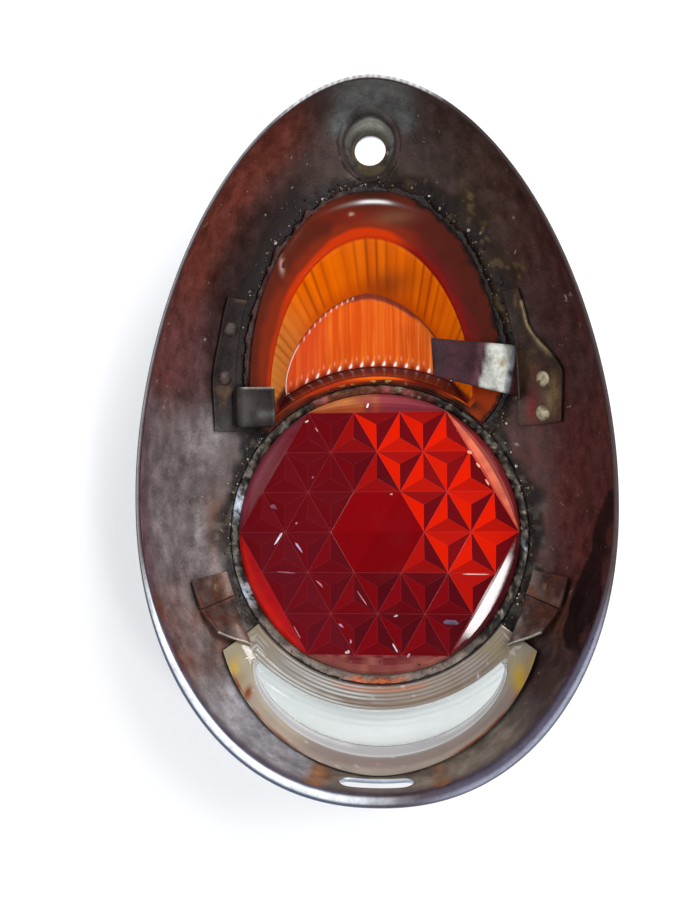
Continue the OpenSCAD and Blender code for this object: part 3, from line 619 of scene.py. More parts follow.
def lipReflections(a, u):
    # Painted reflections: bright streaks run along the rolled lip low on the left and at the foot; elsewhere it is
    # painted as mirroring dark things
    deg = np.degrees(a) % 360
    low = ramp(deg, 182, 208) * ramp(deg, 282, 258)
    right = ramp(deg, 272, 292) * ramp(deg, 352, 328)
    crown = ramp(deg, 79, 83) * ramp(deg, 103, 99)
    spot = lump(np.column_stack([a * 60, u * 4, a * 0]), 1.2, 7)
    stripes = 0.75 + 0.25 * np.sign(np.sin(a * 420))
    return paint(ground(a, 70, 54, 54), [
        ((158, 154, 158), np.exp(-((u - 0.3) / 0.07) ** 2) * ramp(deg, 96, 106) * ramp(deg, 200, 190) * 0.9),
        ((96, 94, 112), low * 0.9),
        ((244, 248, 252), low * ramp(u, 0.1, 0.16) * ramp(u, 0.37, 0.3)),
        ((74, 88, 122), low * ramp(u, 0.35, 0.42) * np.clip(0.75 + 0.6 * spot, 0, 1)),
        ((30, 36, 58), low * smooth((u - 0.56 + 0.05 * spot) / 0.04)),
        ((84, 80, 98), right * 0.9),
        ((188, 194, 214), right * np.exp(-((u - 0.36) / 0.06) ** 2) * 0.7),
        ((58, 44, 42), ramp(deg, 10, 30) * ramp(deg, 82, 76) * 0.8),
        ((222, 222, 220), crown * stripes * ramp(u, 0.1, 0.2))])


# Marks on the inner face: spots as middle, half widths and strength, and the dark smear down the right wall as
# heights in plan, places across and half widths
marks = {"rust": ((-37, -38, 5, 5, 1), (-37.5, -20, 2.0, 6, 1.3), (-40.5, -48, 2.2, 5, 1.2),
                  (37, -40, 4, 5, 0.9), (-11.5, -71, 2.4, 1.6, 1.6), (12.5, -71, 2.4, 1.6, 1.6),
                  (-34, -48, 5, 4, 0.6), (28, 34, 4, 6, 0.6), (-45, -40, 2, 6, 1)),
         "ochre": ((-12, -71, 1.5, 1.2, 1), (13, -71, 1.2, 1, 0.7)),
         "olive": ((2, 58.5, 17, 3.0, 0.8), (22, 48, 8, 10, 0.5)),
         "smearDown": (-48, -43, -38.5, -33.5, -26, -22.5, -12.5),
         "smearAcross": (39.6, 40.5, 42.8, 43.9, 46.3, 46.6, 48.6),
         "smearHalf": (0.8, 1.0, 1.8, 1.5, 0.75, 0.65, 0.65)}


def shellColours(p):
    # Smoky brown steel with a painted silvery sheen low on the left, orange painted light under the crown on the
    # upper left wall, dark smears and a painted highlight round the top of the screw pocket
    x, y, z = p[:, 0], p[:, 1], p[:, 2]
    wide, fine, tiny = lump(p, 16.0, 3), lump(p, 4.5, 4), lump(p, 1.4, 6)
    streak = lump(p * np.array([1.0, 0.3, 0.5]), 2.6, 5)
    rough = np.clip(0.55 + 0.45 * wide + 0.45 * fine + 0.2 * tiny, 0, 1)
    upper = ramp(x, -8, -20) * ramp(y, -2, 14)
    # A painted silvery sheen low on the left, streaked with the grain
    silverSheen = ramp(x, -20, -32) * ramp(y, 13, 1) * ramp(y, -68, -58)
    silverSheen = silverSheen * (1 - 0.7 * ramp(np.hypot(x, y - redY), 45, 40) * ramp(y, -22, -12))
    low = ramp(y, -50, -59) * ramp(x, 34, 26)
    grey = paint(ground(p, 180, 180, 186), [((146, 136, 122), ramp(x, -16, -8))])
    rust = np.clip(patches(x, y, marks["rust"]), 0, 1)
    spine = np.interp(y, marks["smearDown"], marks["smearAcross"])
    half = np.interp(y, marks["smearDown"], marks["smearHalf"])
    beside = smooth((x - spine - half) / 0.8) * ramp(y, -18, -23) * ramp(y, -54, -44)
    black = smooth(1.3 - np.abs(x - spine) / half) * ramp(y, -8, -12) * ramp(y, -49, -42)
    olive = patches(x, y, marks["olive"])
    away = np.hypot(x, y - redY)
    deg = np.degrees(np.arctan2(y - redY, x)) % 360
    foot = ramp(deg, 222, 232) * ramp(deg, 312, 302)
    spots = np.column_stack([x, y])
    gap = np.hypot(*(spots - nearestOn(x, y, amberOuter(0.0, 40))).T)
    reachOut = 5.2 + 2.6 * ramp(x, 0, 18) * ramp(y, 14, 28) + 2.0 * ramp(x, -10, -20)
    soot = smooth((reachOut + 2.2 * fine + 0.9 * tiny - gap) / 2.2) * ramp(y, -2, 4)
    highlightOval = np.hypot((x - 0.8) / 7.0, (y - 67.4) / 5.6)
    c = paint(ground(p, 76, 55, 52), [
        ((54, 42, 42), rough * 0.5),
        ((76, 62, 57), ramp(y, 40, 64) * (0.6 + 0.3 * fine)),
        ((104, 54, 49), ramp(x, 26, 38) * ramp(y, 20, 0) * ramp(y, -44, -34) * (0.6 + 0.3 * streak)),
        ((58, 40, 40), upper * 0.8),
        # Painted light: orange-brown higher up the upper left wall, where it faces the light
        ((122, 62, 50), upper * ramp(z, 18.5, 27.5) * (0.85 + 0.15 * fine)),
        ((104, 68, 68), ramp(x, -34, -42) * patch(x, y, -44, 20, 14, 16) * 0.8),
        ((84, 38, 40), patch(x, y, 44, 26, 5, 24) * np.clip(0.4 + 0.5 * streak, 0, 0.6)),
        ((154, 146, 146), silverSheen * np.clip(0.72 + 0.4 * streak + 0.2 * wide, 0, 0.95)
         * (1 - 0.25 * ramp(y, -20, 0))),
        ((110, 84, 94), ramp(z, 27, 32) * ramp(x, -38, -43) * ramp(y, 14, 2) * ramp(y, -46, -36) * 0.75),
        (grey, low * np.clip(0.85 + 0.3 * streak + 0.1 * tiny, 0, 0.95)),
        ((104, 96, 104), ramp(x, 28, 36) * ramp(y, -40, -52) * np.clip(0.2 + 0.6 * streak, 0, 0.5)),
        ((66, 48, 66), ramp(z, 30, 33) * ramp(y, -26, -40) * 0.7),
        ((126, 74, 48), rust * np.clip(0.6 + 0.8 * fine, 0, 1)),
        ((176, 120, 62), np.clip(patches(x, y, marks["ochre"]), 0, 1) * (0.7 + 0.4 * tiny)),
        ((132, 60, 68), beside * np.clip(0.75 + 0.3 * fine, 0, 0.95)),
        ((24, 18, 20), smooth((black * (1 + 0.7 * fine + 0.3 * tiny) - 0.3) * 3) * 0.92),
        ((78, 58, 26), np.clip(olive * (0.7 + 0.7 * fine), 0, 0.9)),
        ((22, 18, 17), smooth((38.6 + 2.4 * fine - away) / 2.2) * 0.85 * (1 - foot)),
        ((46, 24, 20), smooth((reachOut + 4 + 2 * fine - gap) / 4) * ramp(x, -6, -16) * ramp(y, 2, 10) * 0.7),
        ((27, 14, 11), soot * 0.95),
        ((66, 46, 26), soot * smooth((fine + 0.2) * 3) * ramp(x, 2, 10) * 0.5),
        ((112, 92, 60), soot * smooth((tiny + 0.3 * fine - 0.42) * 5) * ramp(x, 6, 14) * 0.55),
        ((112, 106, 94), smooth((39.4 + 1.5 * fine - away) / 2) * smooth((tiny - 0.05) * 3) * (1 - foot)
         * ramp(y, 8, 2) * 0.38),
        # A painted highlight on the rounded edge where the wall turns down into the screw pocket
        ((124, 132, 130), np.exp(-((highlightOval - 1.22) / 0.26) ** 2) * ramp(y, 66.5, 70.5) * (0.75 + 0.2 * fine)),
        ((104, 98, 96), patch(x, y, 1, 78, 9, 3.5) * 0.6)])
    grain = lump(p * np.array([1.0, 0.25, 0.5]), 1.1, 9)
    return np.clip(c * (1 + 0.16 * tiny + 0.24 * grain)[:, None], 0, 1)


def makeShell():
    # Each row is one point of the section, at every direction; rows go out from the seat, up and round the lip
    t = np.linspace(0, 2 * np.pi, cover["around"], endpoint=False)
    power = np.where(np.sin(t) >= 0, cover["crownPower"], cover["footPower"])
    ex = halfW * np.sign(np.cos(t)) * np.abs(np.cos(t)) ** (2 / power)
    ey = eggY + np.where(np.sin(t) >= 0, crownL, footL) * np.sign(np.sin(t)) * np.abs(np.sin(t)) ** (2 / power)
    a = np.arctan2(ey - redY, ex)
    rim = reach(a)
    lip = lipAt(redY + rim * np.sin(a))
    p = wallPower(a)
    seat = np.array(cover["seat"])
    th = np.pi / 2 * (np.arange(1, cover["wallRows"] + 1) / cover["wallRows"]) ** 1.15
    turn = np.radians(np.linspace(160, -90, cover["lipRows"]))
    top = cover["height"] - lip / 2
    r = np.concatenate([np.tile(seat[:, :1], len(a)),
                        stepR + (rim - lip - stepR) * np.sin(th)[:, None] ** (2 / p),
                        rim - lip / 2 + lip / 2 * np.cos(turn)[:, None]])
    z = np.concatenate([np.tile(seat[:, 1:], len(a)),
                        stepZ + (top - stepZ) * (1 - np.cos(th)[:, None]),
                        top + lip / 2 * np.sin(turn)[:, None]])
    rows, cols = r.shape
    pts = np.stack([r * np.cos(a), redY + r * np.sin(a), z], -1).reshape(-1, 3)
    lipFrom = rows - cover["lipRows"]
    around = np.tile(a, rows)
    lipPlace = np.repeat((160 - np.degrees(turn)) / 250, cols)
    pts[:lipFrom * cols, 2] = pressed(*pts[:lipFrom * cols].T)
    faces = gridFaces(rows, cols, closed=True, flip=True)
    rowOf = np.repeat(np.arange(rows - 1), cols)
    spots = np.linspace(0, 2 * np.pi, 90, endpoint=False)
    ring = np.stack([screw["reach"] * np.cos(spots), screw["y"] + screw["reach"] * np.sin(spots)], -1)
    h, l = slot["height"] / 2, slot["length"] / 2 - slot["height"] / 2
    ends = np.linspace(-np.pi / 2, np.pi / 2, 24)
    oval = np.concatenate([np.stack([l + h * np.cos(ends), slot["middle"] + h * np.sin(ends)], -1),
                           np.stack([-l - h * np.cos(ends), slot["middle"] - h * np.sin(ends)], -1)])
    archWindow = arch(amber["halfWidth"] - amber["rimSide"] + 1.2, amber["top"] - amber["rimTop"] + 1.2,
                      footR + 1, amber["middle"] + 2, 90)
    for loop, flat in ((archWindow, True), (clearWindowLoop(-0.9), True), (ring, True), (oval, False)):
        u, v = (pts[:, 0], pts[:, 1]) if flat else (pts[:, 0], np.where(pts[:, 1] < -55, pts[:, 2], -99.0))
        middle = np.stack([u, v], -1)[faces].mean(1)
        gone = insideLoop(middle[:, 0], middle[:, 1], loop)
        if flat and loop is not ring:
            gone &= rowOf >= 9
        kept = faces[~gone]
        hit = np.zeros(len(pts), bool)
        hit[kept.ravel()] = True
        lost = np.zeros(len(pts), bool)
        lost[faces[gone].ravel()] = True
        move = np.flatnonzero(hit & lost)
        foot = nearestOn(u[move], v[move], loop)
        if flat:
            pts[move, :2] = foot
            pts[move, 2] = pressed(foot[:, 0], foot[:, 1], surf(foot[:, 0], foot[:, 1]))
        else:
            # On the steep foot wall the height decides how far out the point lies
            d = pts[move, 1] - redY
            aa = np.arctan2(d, foot[:, 0])
            for turnAgain in range(footTurns):
                rr = reach(aa)
                lp = lipAt(redY + rr * np.sin(aa))
                up = (foot[:, 1] - stepZ) / (cover["height"] - lp / 2 - stepZ)
                f = (1 - (1 - up) ** 2) ** (1 / wallPower(aa))
                far = stepR + (rr - lp - stepR) * f
                aa = np.arctan2(-np.sqrt(far ** 2 - foot[:, 0] ** 2), foot[:, 0])
            pts[move] = np.column_stack([foot[:, 0], redY - np.sqrt(far ** 2 - foot[:, 0] ** 2), foot[:, 1]])
        faces, rowOf = kept, rowOf[~gone]
    cut = lipFrom * cols
    colours = np.concatenate([shellColours(pts[:cut]), lipReflections(around[cut:], lipPlace)])
    used = np.unique(faces)
    back = np.zeros(len(pts), int)
    back[used] = np.arange(len(used))
    pts, faces = pts[used], back[faces]
    which = 2 * (rowOf >= lipFrom - 1)
    obj = makePiece("pressed_shell", pts, faces, [innerSteel, chrome, lipChrome, chrome], slot="cover_steel",
                    stands=["bezel_shell"], tint=colours[used], which=which, sharp=60)
    return thicken(obj, cover["sheet"], -1, 0.0, 1)


def makePocket():
    # The screw pocket: land, cone and wall drawn up to the shell, each point no higher than the shell itself
    phi = np.linspace(0, 2 * np.pi, screw["around"], endpoint=False)
    base = np.array(screw["foot"])
    n = screw["rows"] - len(base)
    brow = np.linspace(screw["pocket"] + 0.05, screw["reach"] + 0.25, 8)
    out = np.concatenate([base[:, 0], np.full(n - 8, screw["pocket"]), brow])
    x = out[:, None] * np.cos(phi)
    y = screw["y"] + out[:, None] * np.sin(phi)
    roof = pressed(x, y, surf(x, y)) + 0.03
    low = screw["landHeight"] + screw["flareHeight"]
    edge = np.stack([5.9 * np.cos(phi), screw["y"] + 5.9 * np.sin(phi)])
    crest = np.maximum(pressed(*edge, surf(*edge)) - 0.7, low)
    climb = np.linspace(0, 1, n - 8)[:, None]
    land = screw["landHeight"] + np.tile(base[:, 1:2], len(phi))
    z = np.minimum(np.concatenate([land, low + (crest - low) * climb, roof[-8:]]), roof)
    pts = np.stack([x, y, z], -1)
    for sweep in range(rounds):
        # Each point steps towards the middle of its four neighbours, which rounds the drawn edge
        side = (np.roll(pts, 1, 1) + np.roll(pts, -1, 1)) / 2
        pts[4:-3] = 0.4 * pts[4:-3] + 0.45 * (pts[3:-4] + pts[5:-2]) / 2 + 0.15 * side[4:-3]
    pts[-1, :, 2] -= 0.3  # the last row dips under the shell, so that no seam shows
    pts = pts.reshape(-1, 3)
    faces = gridFaces(len(out), len(phi), closed=True, flip=True)
    r = np.hypot(pts[:, 0], pts[:, 1] - screw["y"])
    fine = lump(pts, 1.6, 8)
    c = paint(ground(pts, 84, 80, 72), [
        ((52, 46, 42), 0.5 + 0.5 * fine),
        # A painted highlight on the pocket's upper wall
        ((246, 242, 226), patch(pts[:, 0], pts[:, 2], 0.6, 20.4, 4.4, 2.0) * smooth(pts[:, 1] - screw["y"])),
        # Painted shade on the pocket's lower side
        ((36, 27, 24), smooth((screw["y"] - 1 - pts[:, 1]) / 3) * 0.8),
        ((96, 80, 50), smooth((screw["landHeight"] + 0.4 - pts[:, 2]) / 0.4) * 0.6),
        (shellColours(pts), ramp(r, 5.6, 6.1)),
        # A painted shade ring round the pocket's rim
        ((30, 27, 27), np.exp(-((r - 5.9) / 0.4) ** 2) * 0.7)])
    obj = makePiece("screw_pocket", pts, faces, [innerSteel, chrome], slot="cover_steel", tint=c, sharp=60)
    return thicken(obj, cover["sheet"] * 0.8, -1, 0.0, 1)


makeShell()
makePocket()
print("cover made")


def cupPiece(name, rings, faceGrid, underGrid, tint, materials, which=None, **more):
    # Rings of points run from the inner face out over the flange and back underneath; two grids close the cup
    n = len(rings[0])
    pts = [np.concatenate(rings)]
    faces = [gridFaces(len(rings), n, closed=True)]
    for g, turn in ((faceGrid, False), (underGrid, True)):
        faces.append(gridFaces(g.shape[0], g.shape[1], flip=not turn, first=sum(len(q) for q in pts)))
        pts.append(g.reshape(-1, 3))
    pts = np.concatenate(pts)
    counts = [len(f) for f in faces]
    sizes = [len(rings) * n, faceGrid[..., 0].size, underGrid[..., 0].size]
    faces = np.concatenate(faces)
    kinds = None if which is None else np.concatenate([
        np.repeat(which[0], n), np.full(counts[1], which[1]), np.full(counts[2], which[2])])
    return makePiece(name, pts, faces, materials, tint=tint(pts, sizes, n), which=kinds, **more)


def makeAmber():
    # The wall leans from the face's outline to the cavity's edge and sags as a sine, with ribs of a sine to the
    # power 0.8; the flange follows the shell; the face is round flutes side by side, faded out at both ends
    n = amber["steps"]
    base = lay + sealT + sealRoom
    top = base + amber["flange"]
    faceLoop, cavity, outer = amberFaceLoop(), amberCavity(), amberOuter()
    low, high = flatAt(faceLoop, amber["face"]), lift(cavity, top)
    angle = np.concatenate([np.zeros(n + 1), np.linspace(-amber["ear"], 180 + amber["ear"], n + 1)])
    onBow = np.concatenate([np.zeros(n + 1), np.ones(n + 1)]) * ramp(angle, -30, -18) * ramp(angle, 210, 198)

    def ribPlace(x, y):
        # Ribs run down the wall towards a point below the lens, a nearer one on the left than on the right
        return np.where(x < -1.5, np.degrees(np.arctan2(x + 1.5, y)) / amber["leftRib"],
                        np.degrees(np.arctan2(x + 1.5, y + 25)) / amber["rightRib"])

    toward = np.column_stack([-faceLoop[:, 0], 20 - faceLoop[:, 1]])
    toward = toward / np.linalg.norm(toward, axis=1, keepdims=True)
    rings, kind = [low], [0.0]
    for f in np.linspace(0.06, 0.95, 14):
        ring = between(low, high, f)
        rib = np.abs(np.sin(np.pi * ribPlace(ring[:, 0], ring[:, 1]))) ** 0.8 * onBow
        depth = amber["ribDepth"] * math.sin(math.pi * min(f * 1.15, 1)) ** 0.5
        ring[:, :2] += toward * (rib * depth)[:, None]
        ring[:, 2] += rib * depth * 0.5 - 0.25 * math.sin(math.pi * f)
        rings.append(ring)
        kind.append(f)
    for f, dz in [(0.0, -0.32), (0.015, -0.08)] + [(f, 0.02) for f in np.linspace(0.05, 0.94, 34)] \
            + [(0.965, -0.05), (0.985, -0.14), (1.0, -0.4)]:
        rings.append(lift(between(cavity, outer, f), top + dz))
        kind.append(1 + f)
    rings += [lift(outer, base + 0.3)] + [lift(between(cavity, outer, f), base) for f in (0.98, 0.5)]
    under = amberFaceLoop(amber["wall"] * 0.7)
    edge = lift(amberCavity(amber["wall"] * 0.4), base)
    bottom = flatAt(under, amber["face"] - amber["wall"])
    rings.append(edge)
    for f in (0.25, 0.5, 0.75, 0.93):
        rings.append(between(edge, bottom, f) - [0, 0, 0.4 * math.sin(math.pi * f)])
    rings.append(bottom)
    kind += [3.0] * (len(rings) - len(kind))
    pitch = 2 * faceHalf / amber["flutes"]
    r = pitch * 0.66

    def sheetOf(loop, z, rows):
        f = (0.5 - 0.5 * np.cos(np.linspace(0, np.pi, rows)))[:, None, None]
        g = loop[:n + 1][None] * (1 - f) + loop[n + 1:][::-1][None] * f
        return np.concatenate([g, np.full(g.shape[:2] + (1,), z)], -1)

    faceGrid = sheetOf(faceLoop, amber["face"], 64)
    x, y = faceGrid[..., 0], faceGrid[..., 1]
    d = ((x - amber["faceShift"]) / pitch + amber["flutes"] / 2) % 1 - 0.5
    groove = np.sqrt(r * r - (d * pitch) ** 2) - math.sqrt(r * r - pitch * pitch / 4)
    foot = y - footArc(x, faceFootR)
    crest = (faceGrid[-1:, :, 1] - y)
    fade = ramp(foot, 0, 1.3) * ramp(crest, 0, 0.9)
    faceGrid[..., 2] += -groove * fade * 0.3 + 0.3 * ramp(foot, 1, 0) + 0.2 * ramp(crest, 0.7, 0)
    bow = faceLoop[n + 1:]
    spots = faceGrid[..., :2].reshape(-1, 2)
    side = np.hypot(*(spots - nearestOn(spots[:, 0], spots[:, 1], bow[::4])).T)
    underGrid = sheetOf(under, amber["face"] - amber["wall"], 16)
    underGrid[..., 2] -= 0.3 * np.sin(np.linspace(0, np.pi, 16))[:, None] ** 2

    def tint(p, counts, m):
        # Wall: orange with painted shade lines along the ribs and painted shade low down, tan on the left. Flange:
        # a painted red glow beside the wall, then dark brown, with a painted white highlight arc near the crown
        first = len(rings) * m
        q = p[:first]
        x, y = q[:, 0], q[:, 1]
        stage = np.repeat(np.array(kind), m)
        onWall = np.tile(onBow, len(rings))
        at = ribPlace(x, y)
        # Painted shade along each rib
        ribShade = near(at - np.round(at), 0, 0.24) * (0.55 + 0.4 * np.sin(np.round(at) * 7.3 + 1))
        band = 0.5 + 0.5 * np.sin(at * 2.9 + 0.7)
        deep = np.clip(stage, 0, 1)
        left = ramp(x, -8, -20) * ramp(y, 37, 21)
        wall = paint(ground(first, 246, 116, 4), [
            ((214, 88, 4), band * 0.5),
            ((206, 132, 58), left * 0.95),
            # painted shade low on the wall, next to the face
            ((206, 82, 8), smooth(1 - deep * 2.4) * 0.8 * (1 - left)),
            ((250, 124, 8), ramp(x, 9, 17) * ramp(y, 36, 24) * 0.7),
            ((140, 60, 22), patch(x, y, 3.5, 38, 6, 2.6) * 0.75),
            ((166, 70, 6), np.clip(ribShade, 0, 0.9) * smooth(deep * 6)),
            ((88, 36, 38), 1 - onWall),
            ((58, 22, 26), (1 - onWall) * ramp(x, -2, -16) * 0.8),
            ((150, 50, 20), (1 - onWall) * near(deep, 0.8, 0.2) * 0.6)])
        cut = np.tile(np.hypot(*(outer - cavity).T), len(rings)) * np.clip(stage - 1, 0, 1)
        fine = lump(q, 2.6, 21)
        tiny = lump(q, 0.9, 23)
        glow = smooth((1.7 + 1.1 * patch(x, y, -3, 48, 9, 5) + 0.5 * fine - cut) / 1.0)
        fromEdge = np.tile(np.hypot(*(outer - cavity).T), len(rings)) * np.clip(2 - stage, 0, 1)
        crud = smooth((1.3 + 0.5 * fine + 0.5 * tiny - fromEdge) / 1.1) * ramp(x, 4, 12) * 0.75
        crud = crud + patch(x, y, 0, 58.2, 17, 2.6)
        arc = y - (54.6 - 0.022 * (x + 0.5) ** 2)
        rim = paint(ground(first, 128, 42, 20), [
            ((92, 34, 20), smooth((cut - 2.6 + 0.8 * fine) / 2.6)),
            ((92, 24, 26), ramp(x, 6, 14) * ramp(y, 16, 26) * 0.85),
            ((84, 34, 22), ramp(x, 6, 14) * smooth((cut - 2.8 + fine) / 1.6) * 0.8),
            ((126, 84, 62), patch(x, y, 5, 51, 5, 1.5) * 0.6),
            ((126, 34, 18), patch(x, y, -6, 51.5, 7, 1.6) * 0.6),
            ((200, 52, 4), glow * (1 - 0.92 * ramp(x, 4, 12)) * (0.55 + 0.45 * ramp(y, 26, 38))),
            ((128, 16, 12), glow * ramp(x, 4, 12) * 0.9),
            ((112, 44, 20), ramp(y, 14, 9) * ramp(x, -14, -19) * 0.8),
            ((172, 60, 18), ramp(y, 13, 8) * ramp(x, 12, 17) * 0.9),
            ((246, 104, 6), (1 - onWall) * (patch(x, y, 1.5, 14.4, 13, 0.7) + patch(x, y, 20, 9, 2.0, 1.4))),
            ((64, 30, 22), (1 - onWall) * ramp(cut, 0.8, 1.1) * np.clip(0.7 + 0.6 * fine, 0, 1)),
            ((196, 150, 80), (1 - onWall) * ramp(cut, 0.9, 1.1) * smooth((tiny - 0.35) * 5)
             * patch(x, y, -1, 14, 8, 3) * 0.8),
            ((30, 22, 19), np.clip(crud * 1.3 + 0.3 * fine - 0.1, 0, 0.95)),
            # A painted white highlight arc near the flange's outer edge at the crown
            ((150, 148, 146), np.exp(-((x + 0.5) / 6) ** 2 - (arc / 0.4) ** 2) * 0.9),
            ((255, 255, 252), np.exp(-((x - 0.8) / 3.6) ** 4 - (arc / 0.3) ** 2)),
            ((216, 176, 160), np.clip(patch(x, y, -21, 40.5, 0.5, 1.6) + patch(x, y, -4.6, 52, 0.5, 0.4), 0, 1)
             * smooth((tiny + 0.3) * 3) * 0.8)])
        c = np.where((stage <= 0.96)[:, None], wall, rim)
        c = np.where((stage > 2.5)[:, None], screenColour(190, 70, 16), c)
        gx, gy, fl, cr, dd = [g.ravel() for g in (faceGrid[..., 0], faceGrid[..., 1], foot, crest, d)]
        grain = lump(np.column_stack([gx * 3.4, gy * 0.16, gx * 0]), 1.6, 22)
        broad = lump(np.column_stack([gx, gy * 0.3, gx * 0]), 4.0, 24)
        crown = ramp(cr - 0.8, 0.9, 0) * ramp(gx, -9, -4) * ramp(gx, 12, 8)
        lean = (fl - 1.0) * 0.09
        stem = np.abs((dd + 0.5 - lean + 0.5) % 1 - 0.5)
        drop = np.hypot(stem / (0.21 - 0.07 * fl), (fl - 0.75) / 0.75)
        bead = np.abs((gx + 0.65) / (pitch / 2) % 1 - 0.5)
        # Painted highlights: pale stems and white drops at the flute ends, pale dashes on the flutes, beads along
        # the top edge and a glint line down the left edge
        face = paint(ground(gx, 216, 82, 14), [
            ((236, 120, 34), np.clip(0.35 + 0.6 * grain + 0.3 * broad, 0, 0.9)),
            ((184, 58, 18), near(dd, 0, 0.2) * np.clip(0.3 + 0.4 * grain, 0, 0.6)),
            ((214, 74, 42), ramp(gx, -8, -17) * 0.55),
            ((222, 112, 30), ramp(gx, 8, 13) * ramp(cr, -1, 2) * ramp(cr, 5, 1) * 0.7),
            ((128, 46, 32), ramp(fl, 2.4, 0) * (0.45 + 0.4 * near(dd, 0, 0.4))),
            ((112, 40, 40), ramp(fl, 1.1, 0) * near(dd, 0, 0.42) * 0.7),
            ((104, 42, 40), np.clip(crown + ramp(side, 0.5, 0), 0, 0.85)),
            ((240, 158, 112), ramp(stem, 0.12, 0) * ramp(fl, 0.6, 1.1) * ramp(fl, 3.2, 1.6) * 0.6),
            ((236, 176, 146), near(dd, 0.02, 0.09) * near(fl, 2.3, 0.9) * 0.75),
            ((250, 242, 240), ramp(drop, 1.05, 0.55) * ramp(gx, -19, -16)),
            ((248, 224, 214), ramp(bead, 0.2, 0) * near(side, 0.45, 0.5) * ramp(gx, -4, -6)
             * ramp(gx, -18.6, -17.1)),
            ((246, 226, 208), near(side, 0.2, 0.18) * ramp(gx, -18.4, -19.2) * ramp(gy, 10, 13))])
        return np.concatenate([c, face, ground(counts[2], 190, 70, 16)])

    return cupPiece("amber_arch", rings, faceGrid, underGrid, tint, [amberPlastic], slot="amber_plastic",
                    stands=["amber_lens"], sharp=38)


# The red lens in millimetres; for each bevel, by its direction in degrees, the screen colours at its inner and
# outer edge, mostly painted reflections, and its gloss
red = {"back": 8.5, "ledge": 3.0, "prism": 1.6, "turn": -0.5, "margin": 0.3, "front": 5.0, "groove": 0.13,
       "edgePoints": 24, "bevelRows": (0.12, 0.3, 0.5, 0.7, 0.85, 0.95, 1.0),
       "bevels": {30: ((196, 44, 26), (112, 32, 36), 0.05), 90: ((116, 34, 48), (158, 66, 76), 0.3),
                  150: ((104, 30, 40), (120, 48, 62), 0.22), -150: ((176, 14, 22), (206, 26, 20), 0.3),
                  -90: ((106, 30, 38), (134, 70, 66), 0.15), -30: ((96, 12, 20), (70, 14, 24), 1.0)}}


def bevelOf(a):
    return int(round(math.degrees(a) / 60 - 0.5) * 60 + 30)


